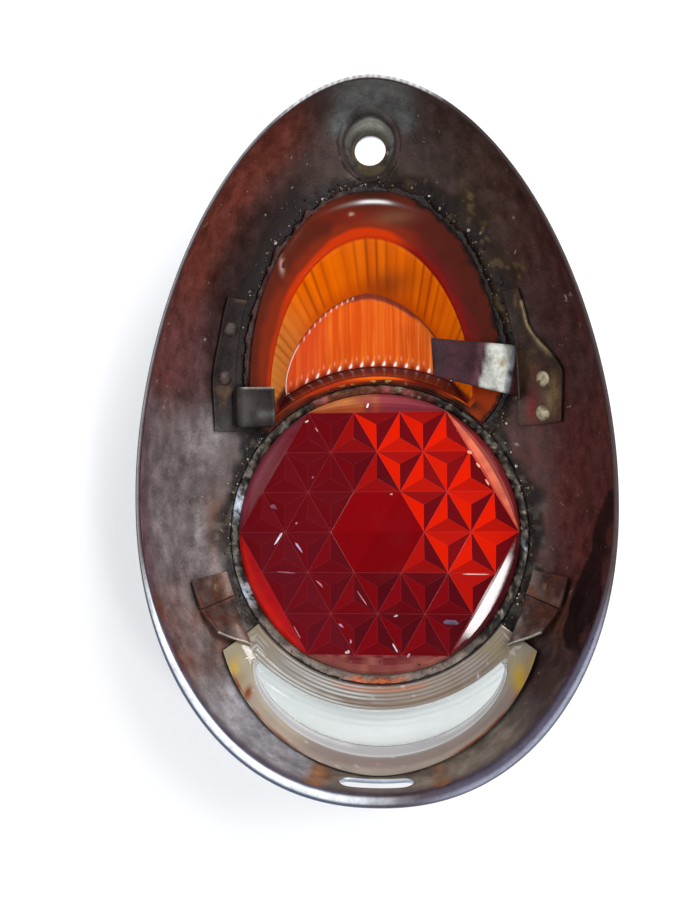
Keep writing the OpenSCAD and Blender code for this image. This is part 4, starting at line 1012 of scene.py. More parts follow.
def makeRed():
    # Grid corners lie on three sets of lines; each triangle outside the middle hexagon rises to a point
    cell = (redR - red["margin"]) / 3
    z = red["back"]
    pts, place = [], {}

    def corner(i, j):
        if (i, j) not in place:
            place[(i, j)] = len(pts)
            pts.append((cell * (i + j / 2), cell * j * math.sqrt(3) / 2, z))
        return place[(i, j)]

    def inHex(i, j, n=3):
        return abs(i) <= n and abs(j) <= n and abs(i + j) <= n

    polys, tones = [], []
    m = red["edgePoints"]
    rimOrder = [(3 - k, k) for k in range(3)] + [(-k, 3) for k in range(3)] + [(-3, 3 - k) for k in range(3)] \
        + [(k - 3, -k) for k in range(3)] + [(k, -3) for k in range(3)] + [(3, k - 3) for k in range(3)]
    rimLoop, extra = [], {}
    for k, a in enumerate(rimOrder):
        b = rimOrder[(k + 1) % len(rimOrder)]
        ia, ib = corner(*a), corner(*b)
        more = []
        for s in range(1, m):
            q = np.array(pts[ia]) * (1 - s / m) + np.array(pts[ib]) * s / m
            pts.append(tuple(q))
            more.append(len(pts) - 1)
        extra[(ia, ib)] = more
        extra[(ib, ia)] = more[::-1]
        rimLoop += [ia] + more
    rng = np.random.default_rng(5)
    for i in range(-3, 3):
        for j in range(-3, 4):
            for tri in (((i, j), (i + 1, j), (i, j + 1)), ((i, j), (i + 1, j - 1), (i + 1, j))):
                if not all(inHex(*q) for q in tri):
                    continue
                ids = [corner(*q) for q in tri]
                mid = np.mean([pts[k] for k in ids], axis=0)
                plain = all(inHex(*q, 1) for q in tri)
                if plain:
                    polys.append(ids)
                    tones.append(("plain", mid[0], mid[1], 0.0, 0.0))
                    continue
                tip = len(pts)
                pts.append(tuple(mid + [0, 0, red["prism"]]))
                for k in range(3):
                    a, b = ids[k], ids[(k + 1) % 3]
                    polys.append([a] + extra.get((a, b), []) + [b, tip])
                    side = (np.array(pts[a]) + np.array(pts[b])) / 2 - mid
                    tones.append(("facet", mid[0], mid[1], math.atan2(side[1], side[0]), rng.uniform(-1, 1)))
    # Bevels run from the hexagon's edge down to the round edge
    loopPts = np.array([pts[k] for k in rimLoop])
    ang = np.arctan2(loopPts[:, 1], loopPts[:, 0])
    side = np.degrees(ang) // 60 * 60 + 30
    apothem = 3 * cell * math.cos(math.radians(30))
    chord = np.hypot(loopPts[:, 0], loopPts[:, 1])
    rows = [np.array(rimLoop)]

    def addRing(r, height):
        rows.append(np.arange(len(ang)) + len(pts))
        pts.extend(np.column_stack([r * np.cos(ang), r * np.sin(ang), height + 0 * ang]))

    for f in red["bevelRows"]:
        # The bevel slopes a little, then rolls over at its round edge
        r = chord + (redR - 0.05 - chord) * f
        d = r * np.cos(ang - np.radians(side))
        addRing(r, z - 0.02 - 0.23 * (d - apothem) - 0.5 * ramp(r - redR, -0.9, 0))
    front = red["front"]
    inner = redR - red["ledge"] - 0.4
    for r, height in ((redR, 6.6), (redR, 5.9), (inner, 5.9), (inner, front)):
        addRing(r, height)
    for a in np.radians([20, 40, 60, 80, 90]):
        addRing(inner - front + front * math.cos(a), front * (1 - math.sin(a)))
    for level in range(len(rows) - 1):
        for k in range(len(ang)):
            k1 = (k + 1) % len(ang)
            polys.append([rows[level + 1][k], rows[level + 1][k1], rows[level][k1], rows[level][k]])
            s = math.atan2(math.sin(math.radians(side[k])), math.cos(math.radians(side[k])))
            if level < len(red["bevelRows"]):
                tones.append(("bevel", *loopPts[k][:2], s, red["bevelRows"][level]))
            else:
                tones.append(("front", *loopPts[k][:2], s, 1.0))
    polys.append([int(q) for q in rows[-1][::-1]])
    tones.append(("front", 0, 0, 0, 0))
    pts = np.array(pts)
    turn = math.radians(red["turn"])
    c, s = math.cos(turn), math.sin(turn)
    pts = np.column_stack([pts[:, 0] * c - pts[:, 1] * s, redY + pts[:, 0] * s + pts[:, 1] * c, pts[:, 2]])
    colours = np.array([redTone(*q) for q in tones])
    mesh = bpy.data.meshes.new("red_round")
    mesh.from_pydata([tuple(q) for q in pts * mm], [], [[int(k) for k in f] for f in polys])
    mesh.update(calc_edges=True)
    addTint(mesh, colours, "FACE")
    gloss = mesh.attributes.new("gloss", "FLOAT", "FACE")
    shine = [red["bevels"][bevelOf(q[3])][2] if q[0] == "bevel" else 0.0 for q in tones]
    gloss.data.foreach_set("value", np.array(shine, np.float32))
    # Only the lines between pyramids are broad, their ridges stay sharp
    ends = np.array([e.vertices[:] for e in mesh.edges])
    flat = np.abs(pts[ends][..., 2] - red["back"]).max(1) < 0.01
    within = np.hypot(pts[ends][..., 0], pts[ends][..., 1] - redY).max(1) < redR - 0.2
    weight = mesh.attributes.new("bevel_weight_edge", "FLOAT", "EDGE")
    hub = (ends == place[(0, 0)]).any(1)
    weight.data.foreach_set("value", np.where(hub, 0, np.where(flat & within, 1.0, 0.3)).astype(np.float32))
    obj = addPiece("red_round", mesh, [redPlastic, redEdgeSheen], "cover", ["red_lens"])
    edge = obj.modifiers.new("edge", "BEVEL")
    edge.width = red["groove"] * mm
    edge.segments = 2
    edge.limit_method = "WEIGHT"
    edge.material = 1
    return obj


def redTone(kind, x, y, a, chance):
    # Facets turned to the left are bright where the lens is lit, on the upper right, and dark elsewhere
    if kind == "plain":
        return screenColour(124, 7, 13) * (1 + 0.2 * (y - x * 0.4) / 10)
    if kind == "front":
        return screenColour(150, 8, 12)
    if kind == "bevel":
        # The last value of a bevel face is its place from the grid's edge, 0, to the round edge, 1
        side = bevelOf(a)
        inner, outer = red["bevels"][side][:2]
        mottle = float(lump(np.array([[x, y, chance * 4]]), 1.6, 25)[0])
        if side == 90:
            # Painted reflections: orange and tan on the left, mauve with a pale smear beside the middle
            end = float(smooth((2.5 - x + 3 * mottle) / 7))
            inner = tuple(np.array(inner) * (1 - end) + np.array((150, 62, 24)) * end)
            outer = tuple(np.array(outer) * (1 - end) + np.array((196, 122, 70)) * end)
        layers = [(outer, ramp(chance, 0.35, 0.85))]
        if side == 30:
            # A painted salmon reflection runs along the middle of this bevel
            streak = math.exp(-((chance - 0.42) / 0.2) ** 2) * min(1.0, 0.85 + 0.3 * mottle)
            layers.append(((232, 120, 84), streak))
        if side == -90:
            # Pinkish brown dirt lies on the lowest bevel
            layers.append(((152, 92, 80), min(0.45 + 0.9 * mottle, 0.9)))
        return paint(screenColour(*inner), layers) * (1 + 0.12 * mottle)
    left, level = -math.cos(a), math.sin(a)
    if abs(level) < 0.95:
        bright = 0.5 + 0.6 * left
    else:
        bright = 0.6 if level < 0 else 0.22 + 0.34 * float(ramp(x, 10, 24))
    bright = min(max(bright + 0.16 * chance, 0.03), 1)
    lit = ramp(x * 0.8 + y * 0.42, 2, 11) * ramp(y, -15, -10)
    return paint(screenColour(78, 12, 20), [
        ((128, 12, 20), bright),
        # A faint painted mauve reflection on the facets low on the left
        ((112, 26, 38), 0.4 * smooth((-x - 6 - y * 0.3) / 16)),
        ((108, 14, 22), 0.6 * ramp(x, -2, -8) * ramp(y, -6, 2)),
        (paint(screenColour(96, 12, 20), [((236, 32, 6), bright)]), lit)])


def makeClear():
    # A crescent cup that leans outwards and sags as a sine, its face rippled by rings about the red lens
    base = seals["clearLay"] + sealT + sealRoom
    top = base + amber["flange"]
    edge, cavity, face = clearOuterLoop(), clearWindowLoop(), clearWindowLoop(clear["draw"])
    rings, kind = [], []
    low, high = lift(face, top - clear["cup"]), lift(cavity, top)
    for f in np.linspace(0, 0.92, 9):
        ring = between(low, high, f)
        ring[:, 2] -= 0.45 * math.sin(math.pi * f)
        rings.append(ring)
        kind.append(f)
    for f, dz in clear["rings"]:
        rings.append(lift(between(cavity, edge, f), top + dz))
        kind.append(1 + f)
    start = lift(clearWindowLoop(-0.3), base)
    rings += [lift(edge, base + 0.25), lift(between(cavity, edge, 0.97), base), start]
    under = clearWindowLoop(clear["draw"] - 0.2)
    bottom = lift(under, base - clear["cup"])
    rings += [between(start, bottom, f) for f in (0.3, 0.6, 0.9)] + [bottom]
    kind += [3.0] * (len(rings) - len(kind))
    n = clear["steps"]

    def sheetOf(loop, up, rows):
        f = np.linspace(0, 1, rows)[:, None, None]
        g = loop[:n + 1][None] * (1 - f) + loop[n + 5:2 * n + 6][::-1][None] * f
        return np.concatenate([g, (surf(g[..., 0], g[..., 1]) + up)[..., None]], -1)

    faceGrid, underGrid = sheetOf(face, top - clear["cup"], 26), sheetOf(under, base - clear["cup"], 12)
    dist = np.hypot(faceGrid[..., 0], faceGrid[..., 1] - redY)
    faceGrid[..., 2] += 0.1 * np.sin(dist * 5.2) * ramp(dist, 44.5, 41.5)

    def tint(p, counts, m):
        # Painted highlights and shade along the glassy arcs beside the red lens, a painted orange glint beside it,
        # grey-tan below the window, yellow and rust at the tips; in the window, painted shade on its wall and
        # painted highlights at its sides
        x, y = p[:, 0], p[:, 1]
        r = np.hypot(x, y - redY)
        a = np.degrees(np.arctan2(y - redY, x)) % 360
        stage = np.concatenate([np.repeat(np.array(kind), m), np.full(len(p) - len(kind) * m, 3.0)])
        fine, tiny = lump(p, 3.4, 31), lump(p, 1.1, 34)
        inside = smooth((r - footR) / 0.3) * smooth((footR + clear["rim"] + 0.4 - r) / 0.5)
        left = ramp(a, 274, 260)
        ringSheen = np.sin((r - footR) * 7.4 + 0.4 * fine + (a - 270) * 0.02)
        tip = ramp(np.abs(a - 270), 37, 45)
        yellow = patches(x, y, (
            (30.6, -53.5, 1.6, 3.4, 1), (34, -51, 1.6, 3.0, 0.6), (-32, -51.5, 1.1, 2.2, 0.8)))
        outside = ramp(stage, 1.8, 1.9) * (1 - inside) * ramp(np.abs(x), 13, 19) * ramp(y, -51, -55)
        flange = paint(ground(p, 158, 150, 142), [
            ((180, 172, 154), ramp(stage, 1.5, 1.8) * (1 - inside) * ramp(y, -58, -64)
             * np.clip(0.6 + 0.5 * fine, 0, 0.9)),
            ((134, 108, 88), inside * ramp(a, 246, 258) * (0.75 + 0.2 * fine)),
            # Painted highlights and shade along the rings
            ((216, 216, 210), inside * ramp(ringSheen, 0.2, 0.7) * (0.25 + 0.7 * left)),
            ((88, 78, 74), inside * ramp(ringSheen, -0.2, -0.7) * (0.35 + 0.35 * left)),
            # A painted orange glint beside the red lens
            ((216, 108, 48), inside * near(r - footR, 0.8, 0.4) * ramp(a, 250, 258)
             * ramp(a, 292, 282) * 0.9),
            ((92, 66, 44), inside * near(r - footR, 4.3, 0.35) * ramp(a, 252, 262) * 0.8),
            ((206, 194, 170), ramp(x, -12, -22) * (1 - inside) * np.clip(0.7 + 0.3 * fine, 0, 0.9)),
            ((150, 136, 104), tip * np.clip(0.5 + 0.5 * fine, 0, 0.8)),
            ((214, 182, 62), np.clip(yellow * (0.9 + 0.3 * tiny), 0, 0.95)),
            ((140, 78, 38), np.clip(patch(x, y, -28.6, -56.6, 0.7, 1.3) * 1.2, 0, 1)),
            ((140, 72, 48), outside * np.clip(0.65 + 0.8 * fine, 0, 1)),
            ((226, 226, 222), smooth((tiny - 0.74) * 8) * 0.6)])
        wall = ramp(stage, 0.95, 0.75)
        c = paint(ground(p, 250, 255, 252), [
            # Painted shade on the window's wall
            ((206, 202, 204), wall * (1 - inside) * 0.9),
            ((196, 186, 120), wall * inside * ramp(a, 276, 284) * 0.7),
            # Painted highlights on the window's wall at its sides
            ((252, 252, 250), near(stage, 0.3, 0.25) * (1 - inside) * ramp(np.abs(x - 4), 8, 12))])
        return np.where(((stage >= 0.99) & (stage < 2.5))[:, None], flange, c)

    kinds = np.zeros(len(rings) - 1, int)
    kinds[1:len(rings) - 5] = 1
    return cupPiece("clear_crescent", rings, faceGrid, underGrid, tint, [clearGlass, clearFlange],
                    (kinds, 0, 0), slot="clear_plastic", stands=["clear_lens"], sharp=38)


makeAmber()
makeRed()
makeClear()
print("lenses made")


def ringPiece(name, rings, depth, colour, stands, inward, tone=None):
    # A closed band of rings of perished rubber; every point is pushed off its place by two sizes of lumps
    pts = np.stack(rings)
    rows, cols = pts.shape[:2]
    flat = pts.reshape(-1, 3)
    push = depth * (0.6 * lump(flat, 1.6, 41) + 0.4 * lump(flat, 0.7, 42))
    flat = flat + np.column_stack([np.zeros((len(flat), 2)), push * inward.repeat(cols)])
    faces = gridFaces(rows + 1, cols, closed=True) % (rows * cols)
    c = paint(ground(flat, *colour), [
        ((12, 9, 9), 0.5 + 0.6 * lump(flat, 2.4, 43)),
        ((92, 72, 48), smooth((lump(flat, 1.3, 44) - 0.4) * 5) * 0.6)])
    if tone:
        c = tone(flat, c)
    tri = faces[:, [0, 1, 2, 0, 2, 3]].reshape(-1, 3)
    v = flat[tri] - flat.mean(0)
    if np.einsum("ij,ij->i", v[:, 0], np.cross(v[:, 1], v[:, 2])).sum() < 0:
        faces = faces[:, ::-1]
    return makePiece(name, flat, faces, [oldRubber], slot="seal_rubber", stands=stands, tint=c, sharp=55)


def sealRings(outer, edge, inner, low, bead):
    # The bed under the flange and the bead round it, as rings from the inside over the top and back underneath
    bed = low + sealT - 1.5 * slip
    rings = [lift(between(inner, edge, f), bed) for f in (0.0, 0.35, 0.7)]
    rings += [lift(edge, bed + bead * f) for f in (0.0, 0.4, 0.8)]
    for f in (0.0, 0.15, 0.3, 0.5, 0.7, 0.85, 1.0):
        rings.append(lift(between(edge, outer, f), bed + bead * (1 - 0.3 * f * f)))
    rings += [lift(outer, low + (bed - low + bead * 0.7) * f) for f in (0.6, 0.0)]
    rings += [lift(between(inner, edge, f), low) for f in (0.7, 0.35, 0.0)]
    push = np.array([0] * 3 + [0, 0.5, 1] + [1] * 7 + [0.4, 0] + [0] * 3, float)
    return rings, push


def makeSeals():
    n = amber["steps"]
    outer = amberOuter(seals["width"])
    outer[:n + 1, 1] = footArc(outer[:n + 1, 0], footR - slip)
    bow = np.column_stack([outer[n + 1:], outer[n + 1:, 0] * 0])
    ragged = 0.9 * (0.6 * lump(bow, 2.2, 45) + 0.4 * lump(bow, 0.9, 46)) - 0.85
    outer[n + 1:] += ragged[:, None] * np.sign(outer[n + 1:] - [0, 15]) * 0.7
    inner = arch(amber["halfWidth"] - amber["rimSide"] + 2.2, amber["top"] - amber["rimTop"] + 2.2, footR + 0.3,
                 amber["middle"] + 2)
    rings, push = sealRings(outer, amberOuter(slip), inner, lay, 1.15)

    def amberTone(q, c):
        # Reddish brown on the left, sooty black on the right
        return paint(c, [
            ((30, 20, 17), 0.6),
            ((84, 30, 20), ramp(q[:, 0], -2, -10) * 0.5)])

    ringPiece("amber_packing", rings, 0.5, (38, 27, 23), ["amber_seal"], -np.abs(push), amberTone)
    inner = between(clearWindowLoop(-0.9), clearOuterLoop(), 0.4)
    rings, push = sealRings(clearOuterLoop(0.3), clearOuterLoop(slip), inner, seals["clearLay"], 0.3)
    ringPiece("clear_packing", rings, 0.1, (70, 52, 42), ["clear_seal"], -np.abs(push))
    a = np.linspace(0, 2 * np.pi, 360, endpoint=False)
    rings = [np.column_stack([polar(np.full_like(a, r), a), np.full_like(a, z)]) for r, z in seals["redProfile"]]

    def redTones(q, c):
        # Tan resin at the foot with a painted orange glint along its top, orange and mauve smears under the amber
        # lens, wet glints on the left
        deg = np.degrees(np.arctan2(q[:, 1] - redY, q[:, 0])) % 360
        fine, tiny = lump(q, 2.6, 47), lump(q, 0.8, 48)
        foot = ramp(deg, 212, 228) * ramp(deg, 318, 304)
        crown = ramp(deg, 62, 74) * ramp(deg, 122, 110)
        glint = patches(deg, 0 * deg, ((168, 0, 5, 1, 1), (204, 0, 4, 1, 0.8), (354, 0, 2, 1, 1)))
        return paint(c, [
            ((132, 120, 110), foot * np.clip(0.8 + 0.3 * fine, 0, 1)),
            # A painted orange glint along the top of the seal at the foot
            ((196, 92, 40), ramp(deg, 254, 262) * ramp(deg, 284, 276) * ramp(q[:, 2], 7.6, 8.1)
             * np.clip(0.6 + 0.6 * fine, 0, 0.9)),
            ((118, 112, 100), smooth((tiny + 0.2 * fine - 0.05) * 5) * (1 - foot) * 0.75),
            ((120, 58, 34), crown * np.clip(0.7 + 0.5 * fine, 0, 1)),
            ((176, 96, 96), crown * smooth((fine - 0.1) * 4) * 0.7),
            ((190, 202, 214), np.clip(glint, 0, 1) * smooth((tiny + 0.25) * 3)),
            ((188, 178, 152), smooth((tiny - 0.55) * 6) * smooth((np.cos(np.radians(deg - 20)) - 0.3) * 3)
             * 0.8)])

    ringPiece("red_packing", rings, 0.8, (36, 30, 27), ["red_seal"], -np.array(seals["redPush"]), redTones)


makeSeals()
print("seals made")

# Clips are straps on the shell beside a lens, tongues over its flange and weld heads through the straps, in
# millimetres; widths are given at the foot and above the taper
clips = {"thick": 0.7, "leftY": 8.2, "rightY": 14.3, "rootW": 9.4, "rightRootW": 11.8, "rightTipW": 8.4,
         "leftLong": 9.0, "rightLong": 19.0, "skew": 5.0, "gap": 0.3, "bend": 2.4,
         "strapClear": 1.8, "strapLow": 2.5, "strapHigh": 33.0, "rows": 60, "columns": 14,
         "leftWidth": (5.0, 4.0), "rightWidth": (9.0, 3.4), "taperFrom": 12.0, "taperLong": 14.0,
         "foldLow": 1.95, "foldHigh": 2.35, "leftTone": (44, 34, 33), "rightTone": (76, 56, 46)}


def strapIn(y):
    # How far out a strap's inner edge lies, just clear of the amber seal's oval
    w, h = amber["halfWidth"] + seals["width"], amber["top"] + seals["width"] - amber["middle"]
    above = np.sqrt(np.maximum(1 - ((y - amber["middle"]) / h) ** 2, 0))
    return w * np.where(y > amber["middle"], above, 1.0) + clips["strapClear"]


def strapWidth(side, y):
    # Widest at the foot, and narrower above the tongue
    w = clips["leftWidth"] if side < 0 else clips["rightWidth"]
    return w[0] + (w[1] - w[0]) * smooth((y - clips["taperFrom"]) / clips["taperLong"])


def rootEnd(side, y):
    # A point of the root line, which a tongue bends up from
    y = np.asarray(float(y))
    return np.array([side * (strapIn(y) - clips["gap"] - clips["thick"]), y,
                     surf(side * strapIn(y), y) + lay + clips["thick"] / 2])


def rootFrame(side, y, w):
    # Middle of the root line, and axes in towards the lens, along the line, and up from it
    a, b = rootEnd(side, y + w / 2), rootEnd(side, y - w / 2)
    run = a - b
    yaw, pitch = math.atan2(-run[0], run[1]), math.atan(run[2] / math.hypot(run[0], run[1]))
    turn = np.array(Matrix.Rotation(yaw, 3, "Z") @ Matrix.Rotation(pitch, 3, "X"))
    if side > 0:
        turn = turn @ np.diag([-1.0, 1.0, 1.0])
    return (a + b) / 2, turn


def curve(guides, n):
    # Smooth path through four guide points, two ends and two pulls
    f = np.linspace(0, 1, n + 1)[:, None]
    h = 1 - f
    g = np.array(guides, float)
    return h ** 3 * g[0] + 3 * h * h * f * g[1] + 3 * h * f * f * g[2] + f ** 3 * g[3]


def bentSheet(name, side, y, w, path, halfAt, midAt, body, stands, tint, bow=0.0):
    # A path carried across its width; the width and its middle change along the path, and it may be troughed
    mid, turn = rootFrame(side, y, w)
    s = np.linspace(-1, 1, 17)
    u = path[:, 0][:, None]
    v = midAt(path[:, 0])[:, None] + halfAt(path[:, 0])[:, None] * s
    h = path[:, 1][:, None] + bow * (s * s)[None, :] * ramp(u, 1.5, 4.5)
    local = np.stack([u + 0 * v, v, h + 0 * v], -1).reshape(-1, 3)
    pts = mid + local @ turn.T
    faces = gridFaces(len(path), len(s), flip=side > 0)
    obj = makePiece(name, pts, faces, [clipSteel], body=body, slot="clip_steel", stands=stands,
                    tint=tint(pts, local), sharp=50)
    return thicken(obj, clips["thick"], 0, 0.1)


def clearOver(side, y, w, u):
    # Height over the root line that clears the amber flange
    mid = rootFrame(side, y, w)[0]
    run = rootEnd(side, y + w / 2) - rootEnd(side, y - w / 2)
    rise = lay + sealT + amber["flange"] + 0.35 + clips["thick"] / 2 + 0.1
    k = np.array([-1, -0.5, 0, 0.5, 1])
    return float(np.max(surf(mid[0] - side * u, y + k * w / 2) - mid[2] - run[2] * k / 2)) + rise


def strapGrid(side, n, m):
    # Plan points of a strap, n along it and m across
    y = np.linspace(clips["strapLow"], clips["strapHigh"], n)[:, None]
    f = np.linspace(0, 1, m)[None, :]
    return side * (strapIn(y) + strapWidth(side, y) * f), y + 0 * f


def makeUpperClip(side, label, y, w, tongue, tongueTint, half, mid, bow, strapTone):
    # The strap lies on the shell; a short riser on it and the tongue meet at the fold line
    rows, columns = clips["rows"], clips["columns"]
    x, yy = strapGrid(side, rows, columns)
    pts = raised(x, yy, np.full_like(x, lay + clips["thick"])).reshape(-1, 3)
    u, v = np.tile(np.linspace(0, 1, columns), rows), np.repeat(np.linspace(0, 1, rows), columns)
    rim = np.minimum(np.minimum(u, 1 - u) * columns, np.minimum(v, 1 - v) * rows) / 1.6
    fine = lump(pts, 2.2, 53)
    c = paint(ground(pts, *strapTone), [
        (shellColours(pts), 0.35),
        ((110, 84, 60), smooth((lump(pts, 3.0, 51) - 0.15) * 3) * 0.45),
        ((24, 19, 19), smooth((lump(pts, 5.0, 52)) * 3) * 0.6),
        ((24, 19, 18), smooth(1 - rim) * 0.3)])
    if side > 0:
        # A tan line of old cement down the outer edge, partly a painted highlight where the edge catches light,
        # and a rusty smear below the weld
        c = paint(c, [
            ((176, 156, 116), smooth(1 - (1 - u) * 5) * smooth((fine + 0.5) * 3) * ramp(yy.ravel(), 16, 20)
             * 0.8),
            ((150, 124, 88), patch(pts[:, 0], pts[:, 1], 39.6, 8.4, 1.4, 4.2)
             * np.clip(0.6 + 0.6 * fine, 0, 1)),
            ((120, 22, 22), patch(pts[:, 0], pts[:, 1], 35.6, 6.5, 1.2, 3.6) * 0.9),
            ((104, 62, 40), patch(pts[:, 0], pts[:, 1], 36.5, 13.5, 2.2, 2.2) * 0.6)])
    strap = makePiece(label + "_plate", pts, gridFaces(rows, columns, flip=side < 0), [clipSteel],
                      slot="clip_steel", stands=[label + "_strap"], tint=c, sharp=50)
    thicken(strap, clips["thick"], -1, 0.1)
    at = rootFrame(side, y, w)[0]

    def along(u):
        return (u, float(surf(at[0] - side * u, y)) - at[2] + lay + clips["thick"] / 2 + 0.05)

    riser = curve([along(-1.9), along(-1.0), (0, -0.2), (0, clips["foldLow"])], 16)
    bentSheet(label + "_riser", side, y, w, riser, lambda u: np.full_like(u, w / 2), lambda u: 0 * u,
              "cover", [], lambda p, q: ground(p, *strapTone))
    bentSheet(label + "_leaf", side, y, w, tongue, half, mid, label + "_tongue", [label + "_tongue"],
              tongueTint, bow)


def makeUpperClips():
    # The left tongue is short and follows the flange; the right one is long, stands open and leans up the wall
    ly, ry, w, rw = clips["leftY"], clips["rightY"], clips["rootW"], clips["rightRootW"]
    long, rlong = clips["leftLong"], clips["rightLong"]
    bend = clips["bend"]
    first = clearOver(-1, ly, w, bend)
    start = curve([(0, clips["foldHigh"]), (0, 3.6), (0.9, first + 1), (bend, first + 0.4)], 14)
    f = np.arange(1, 15) / 14
    u = bend + (long - bend) * f
    over = np.array([clearOver(-1, ly, w, float(q)) for q in u])
    left = np.concatenate([start, np.column_stack([u, over + 0.4 - 0.4 * np.sin(np.pi * f) + 1.2 * f * f])])
    knee = 0.32 * rlong
    start = curve([(0, clips["foldHigh"]), (0, 4.6), (2.4, 6.6), (knee, 6.3)], 18)
    far = np.column_stack([knee + (0.97 * rlong - knee) * f, 6.3 - 1.6 * f + 1.2 * f * f])
    right = np.concatenate([start, far])

    def leftTint(p, q):
        return paint(ground(p, 58, 52, 50), [
            ((100, 98, 94), near(q[:, 1], -1.8, 1.6) * ramp(q[:, 0], 3, 6) * 0.8),
            ((44, 37, 36), ramp(q[:, 1], 1.6, 3.4) * 0.7),
            ((36, 30, 30), ramp(q[:, 1], -3.6, -4.2) * 0.8),
            ((170, 160, 152), ramp(q[:, 1], 4.25, 4.4) * ramp(q[:, 0], 1, 2) * 0.9)])

    def rightTint(p, q):
        # Painted reflections: maroon where it mirrors the lens, a painted grey-white highlight where it bends
        # over, with a dark line along each edge
        u, v = q[:, 0] + 0.24 * q[:, 1], q[:, 1]
        side = v - clips["skew"] * (q[:, 0] + 2) / (rlong + 2)
        half = rw / 2 + (clips["rightTipW"] - rw) / 2 * (q[:, 0] + 2) / (rlong + 2)
        return paint(ground(p, 62, 27, 36), [
            ((40, 24, 30), ramp(u, 15, 18) * 0.6),
            ((100, 60, 66), near(u, 8.9, 1) * 0.7),
            ((196, 198, 188), ramp(u, 8, 7.4) * ramp(u, 0.8, 2)
             * np.clip(0.86 + 0.14 * lump(p, 1.6, 55), 0, 1)),
            ((128, 134, 146), near(u, 1.8, 1) * 0.8),
            ((130, 100, 60), patch(u, side, 3.8, 1.2, 0.7, 1.0) * 0.9),
            ((30, 22, 26), patch(u, side, 1.5, -0.8, 0.7, 0.8) * 0.95),
            ((30, 16, 20), ramp(np.abs(side) - half, -0.5, -0.1) * 0.6)])

    makeUpperClip(-1, "upper_left", ly, w, left, leftTint,
                  lambda u: w / 2 * (1 - 0.04 * np.clip(u / long, 0, 1)),
                  lambda u: 0 * u, 0.35, clips["leftTone"])
    makeUpperClip(1, "upper_right", ry, rw, right, rightTint,
                  lambda u: rw / 2 + (clips["rightTipW"] - rw) / 2 * (u + 2) / (rlong + 2),
                  lambda u: clips["skew"] * (u + 2) / (rlong + 2), 0.0, clips["rightTone"])


# Lower clips, in millimetres, with angles in degrees about the red lens
low = {"in": stepR + 1.4, "bend": 203.0, "back": 9.0, "radius": 42.128, "rise": 7.5, "skew": 9.5, "lean": 3.9,
       "width": 11.0, "long": 6.4, "gap": 0.35, "weldIn": 4.3, "tone": (78, 56, 50)}


def walk(r, a, s, n=6):
    # Distance from the red lens centre after a walk outwards on the wall, in equal steps along its slope
    left = s
    for step in range(n):
        here, next = polar(r, a), polar(r + 0.25, a)
        slope = (surf(next[..., 0], next[..., 1]) - surf(here[..., 0], here[..., 1])) / 0.25
        r = r + left / (n - step) / np.sqrt(1 + slope ** 2)
        left = left - left / (n - step)
    return r


def lowGrid(a0, a1, skew, lean, n, m):
    # Plan points between two angles; the inner side runs further round and leans outwards
    j, i = np.linspace(0, 1, n)[:, None], np.linspace(0, 1, m)[None, :]
    a = np.radians(a0 + (a1 + skew * (1 - i) - a0) * j)
    r = walk(np.full_like(a, low["in"]), a, lean * (1 - i) * j + low["width"] * i)
    return r * np.cos(a), redY + r * np.sin(a)


def makeLowerClip(side, label):
    # A strap on the wall and, past a narrow gap, the tongue that climbs over the tip of the clear lens
    x, y = lowGrid(low["bend"] - low["back"], low["bend"], 0, 0, 26, 14)
    tip = low["bend"] + math.degrees(low["long"] / low["radius"])
    gap = math.degrees(clips["gap"] / (low["in"] + 2))
    strapPts = raised(x, y, np.full_like(x, lay + clips["thick"]))
    tx, ty = lowGrid(low["bend"] + gap, tip, low["skew"], low["lean"], 40, 18)
    past = np.degrees(np.arctan2(ty - redY, tx)) % 360 - low["bend"]
    arc = np.maximum(0, past * math.pi / 180 * low["radius"])
    top = (seals["clearLay"] + sealT + amber["flange"]) * squareTo(tx, ty)[..., 2] + low["gap"] + 0.5
    h = low["gap"] + (top - low["gap"]) * smooth(arc / low["rise"])
    leafPts = raised(tx, ty, h + clips["thick"])
    for pts, name, body, stands, seed in ((strapPts, label + "_plate", "cover", label + "_strap", 61),
                                          (leafPts, label + "_leaf", label + "_tongue", label + "_tongue", 62)):
        n, m = pts.shape[:2]
        p = pts.reshape(-1, 3) * [-side, 1, 1]
        c = paint(ground(p, *low["tone"]), [
            (shellColours(p), 0.3),
            ((104, 60, 40), smooth((lump(p, 3.4, seed) + 0.1) * 3) * 0.6),
            ((126, 116, 110), smooth((lump(p, 2.2, seed + 5) - 0.2) * 3) * 0.35)])
        if name.endswith("leaf"):
            # A painted highlight along the tongue's free end
            c = paint(c, [((206, 200, 190), np.repeat(smooth((np.arange(n) / n - 0.93) * 30), m) * 0.9)])
        obj = makePiece(name, p, gridFaces(n, m, flip=side < 0), [clipSteel], body=body, slot="clip_steel",
                        stands=[stands], tint=c, sharp=50)
        thicken(obj, clips["thick"], -1, 0.1)


# Weld heads in millimetres: the profile as distances from the axis and heights, and the depth of their lumps
welds = {"profile": ((0.02, 1.95), (0.5, 1.92), (1.0, 1.78), (1.45, 1.5), (1.75, 1.2), (1.78, 1.0), (1.3, 0.98),
                     (1.3, 0.4), (1.3, -0.1)),
         "around": 40, "lumps": 0.14, "lowTone": (104, 76, 62),
         "left": ((15.0, 26.0), 0.5, (62, 52, 50)), "right": ((5.0, 12.4), 0.61, (196, 184, 152))}


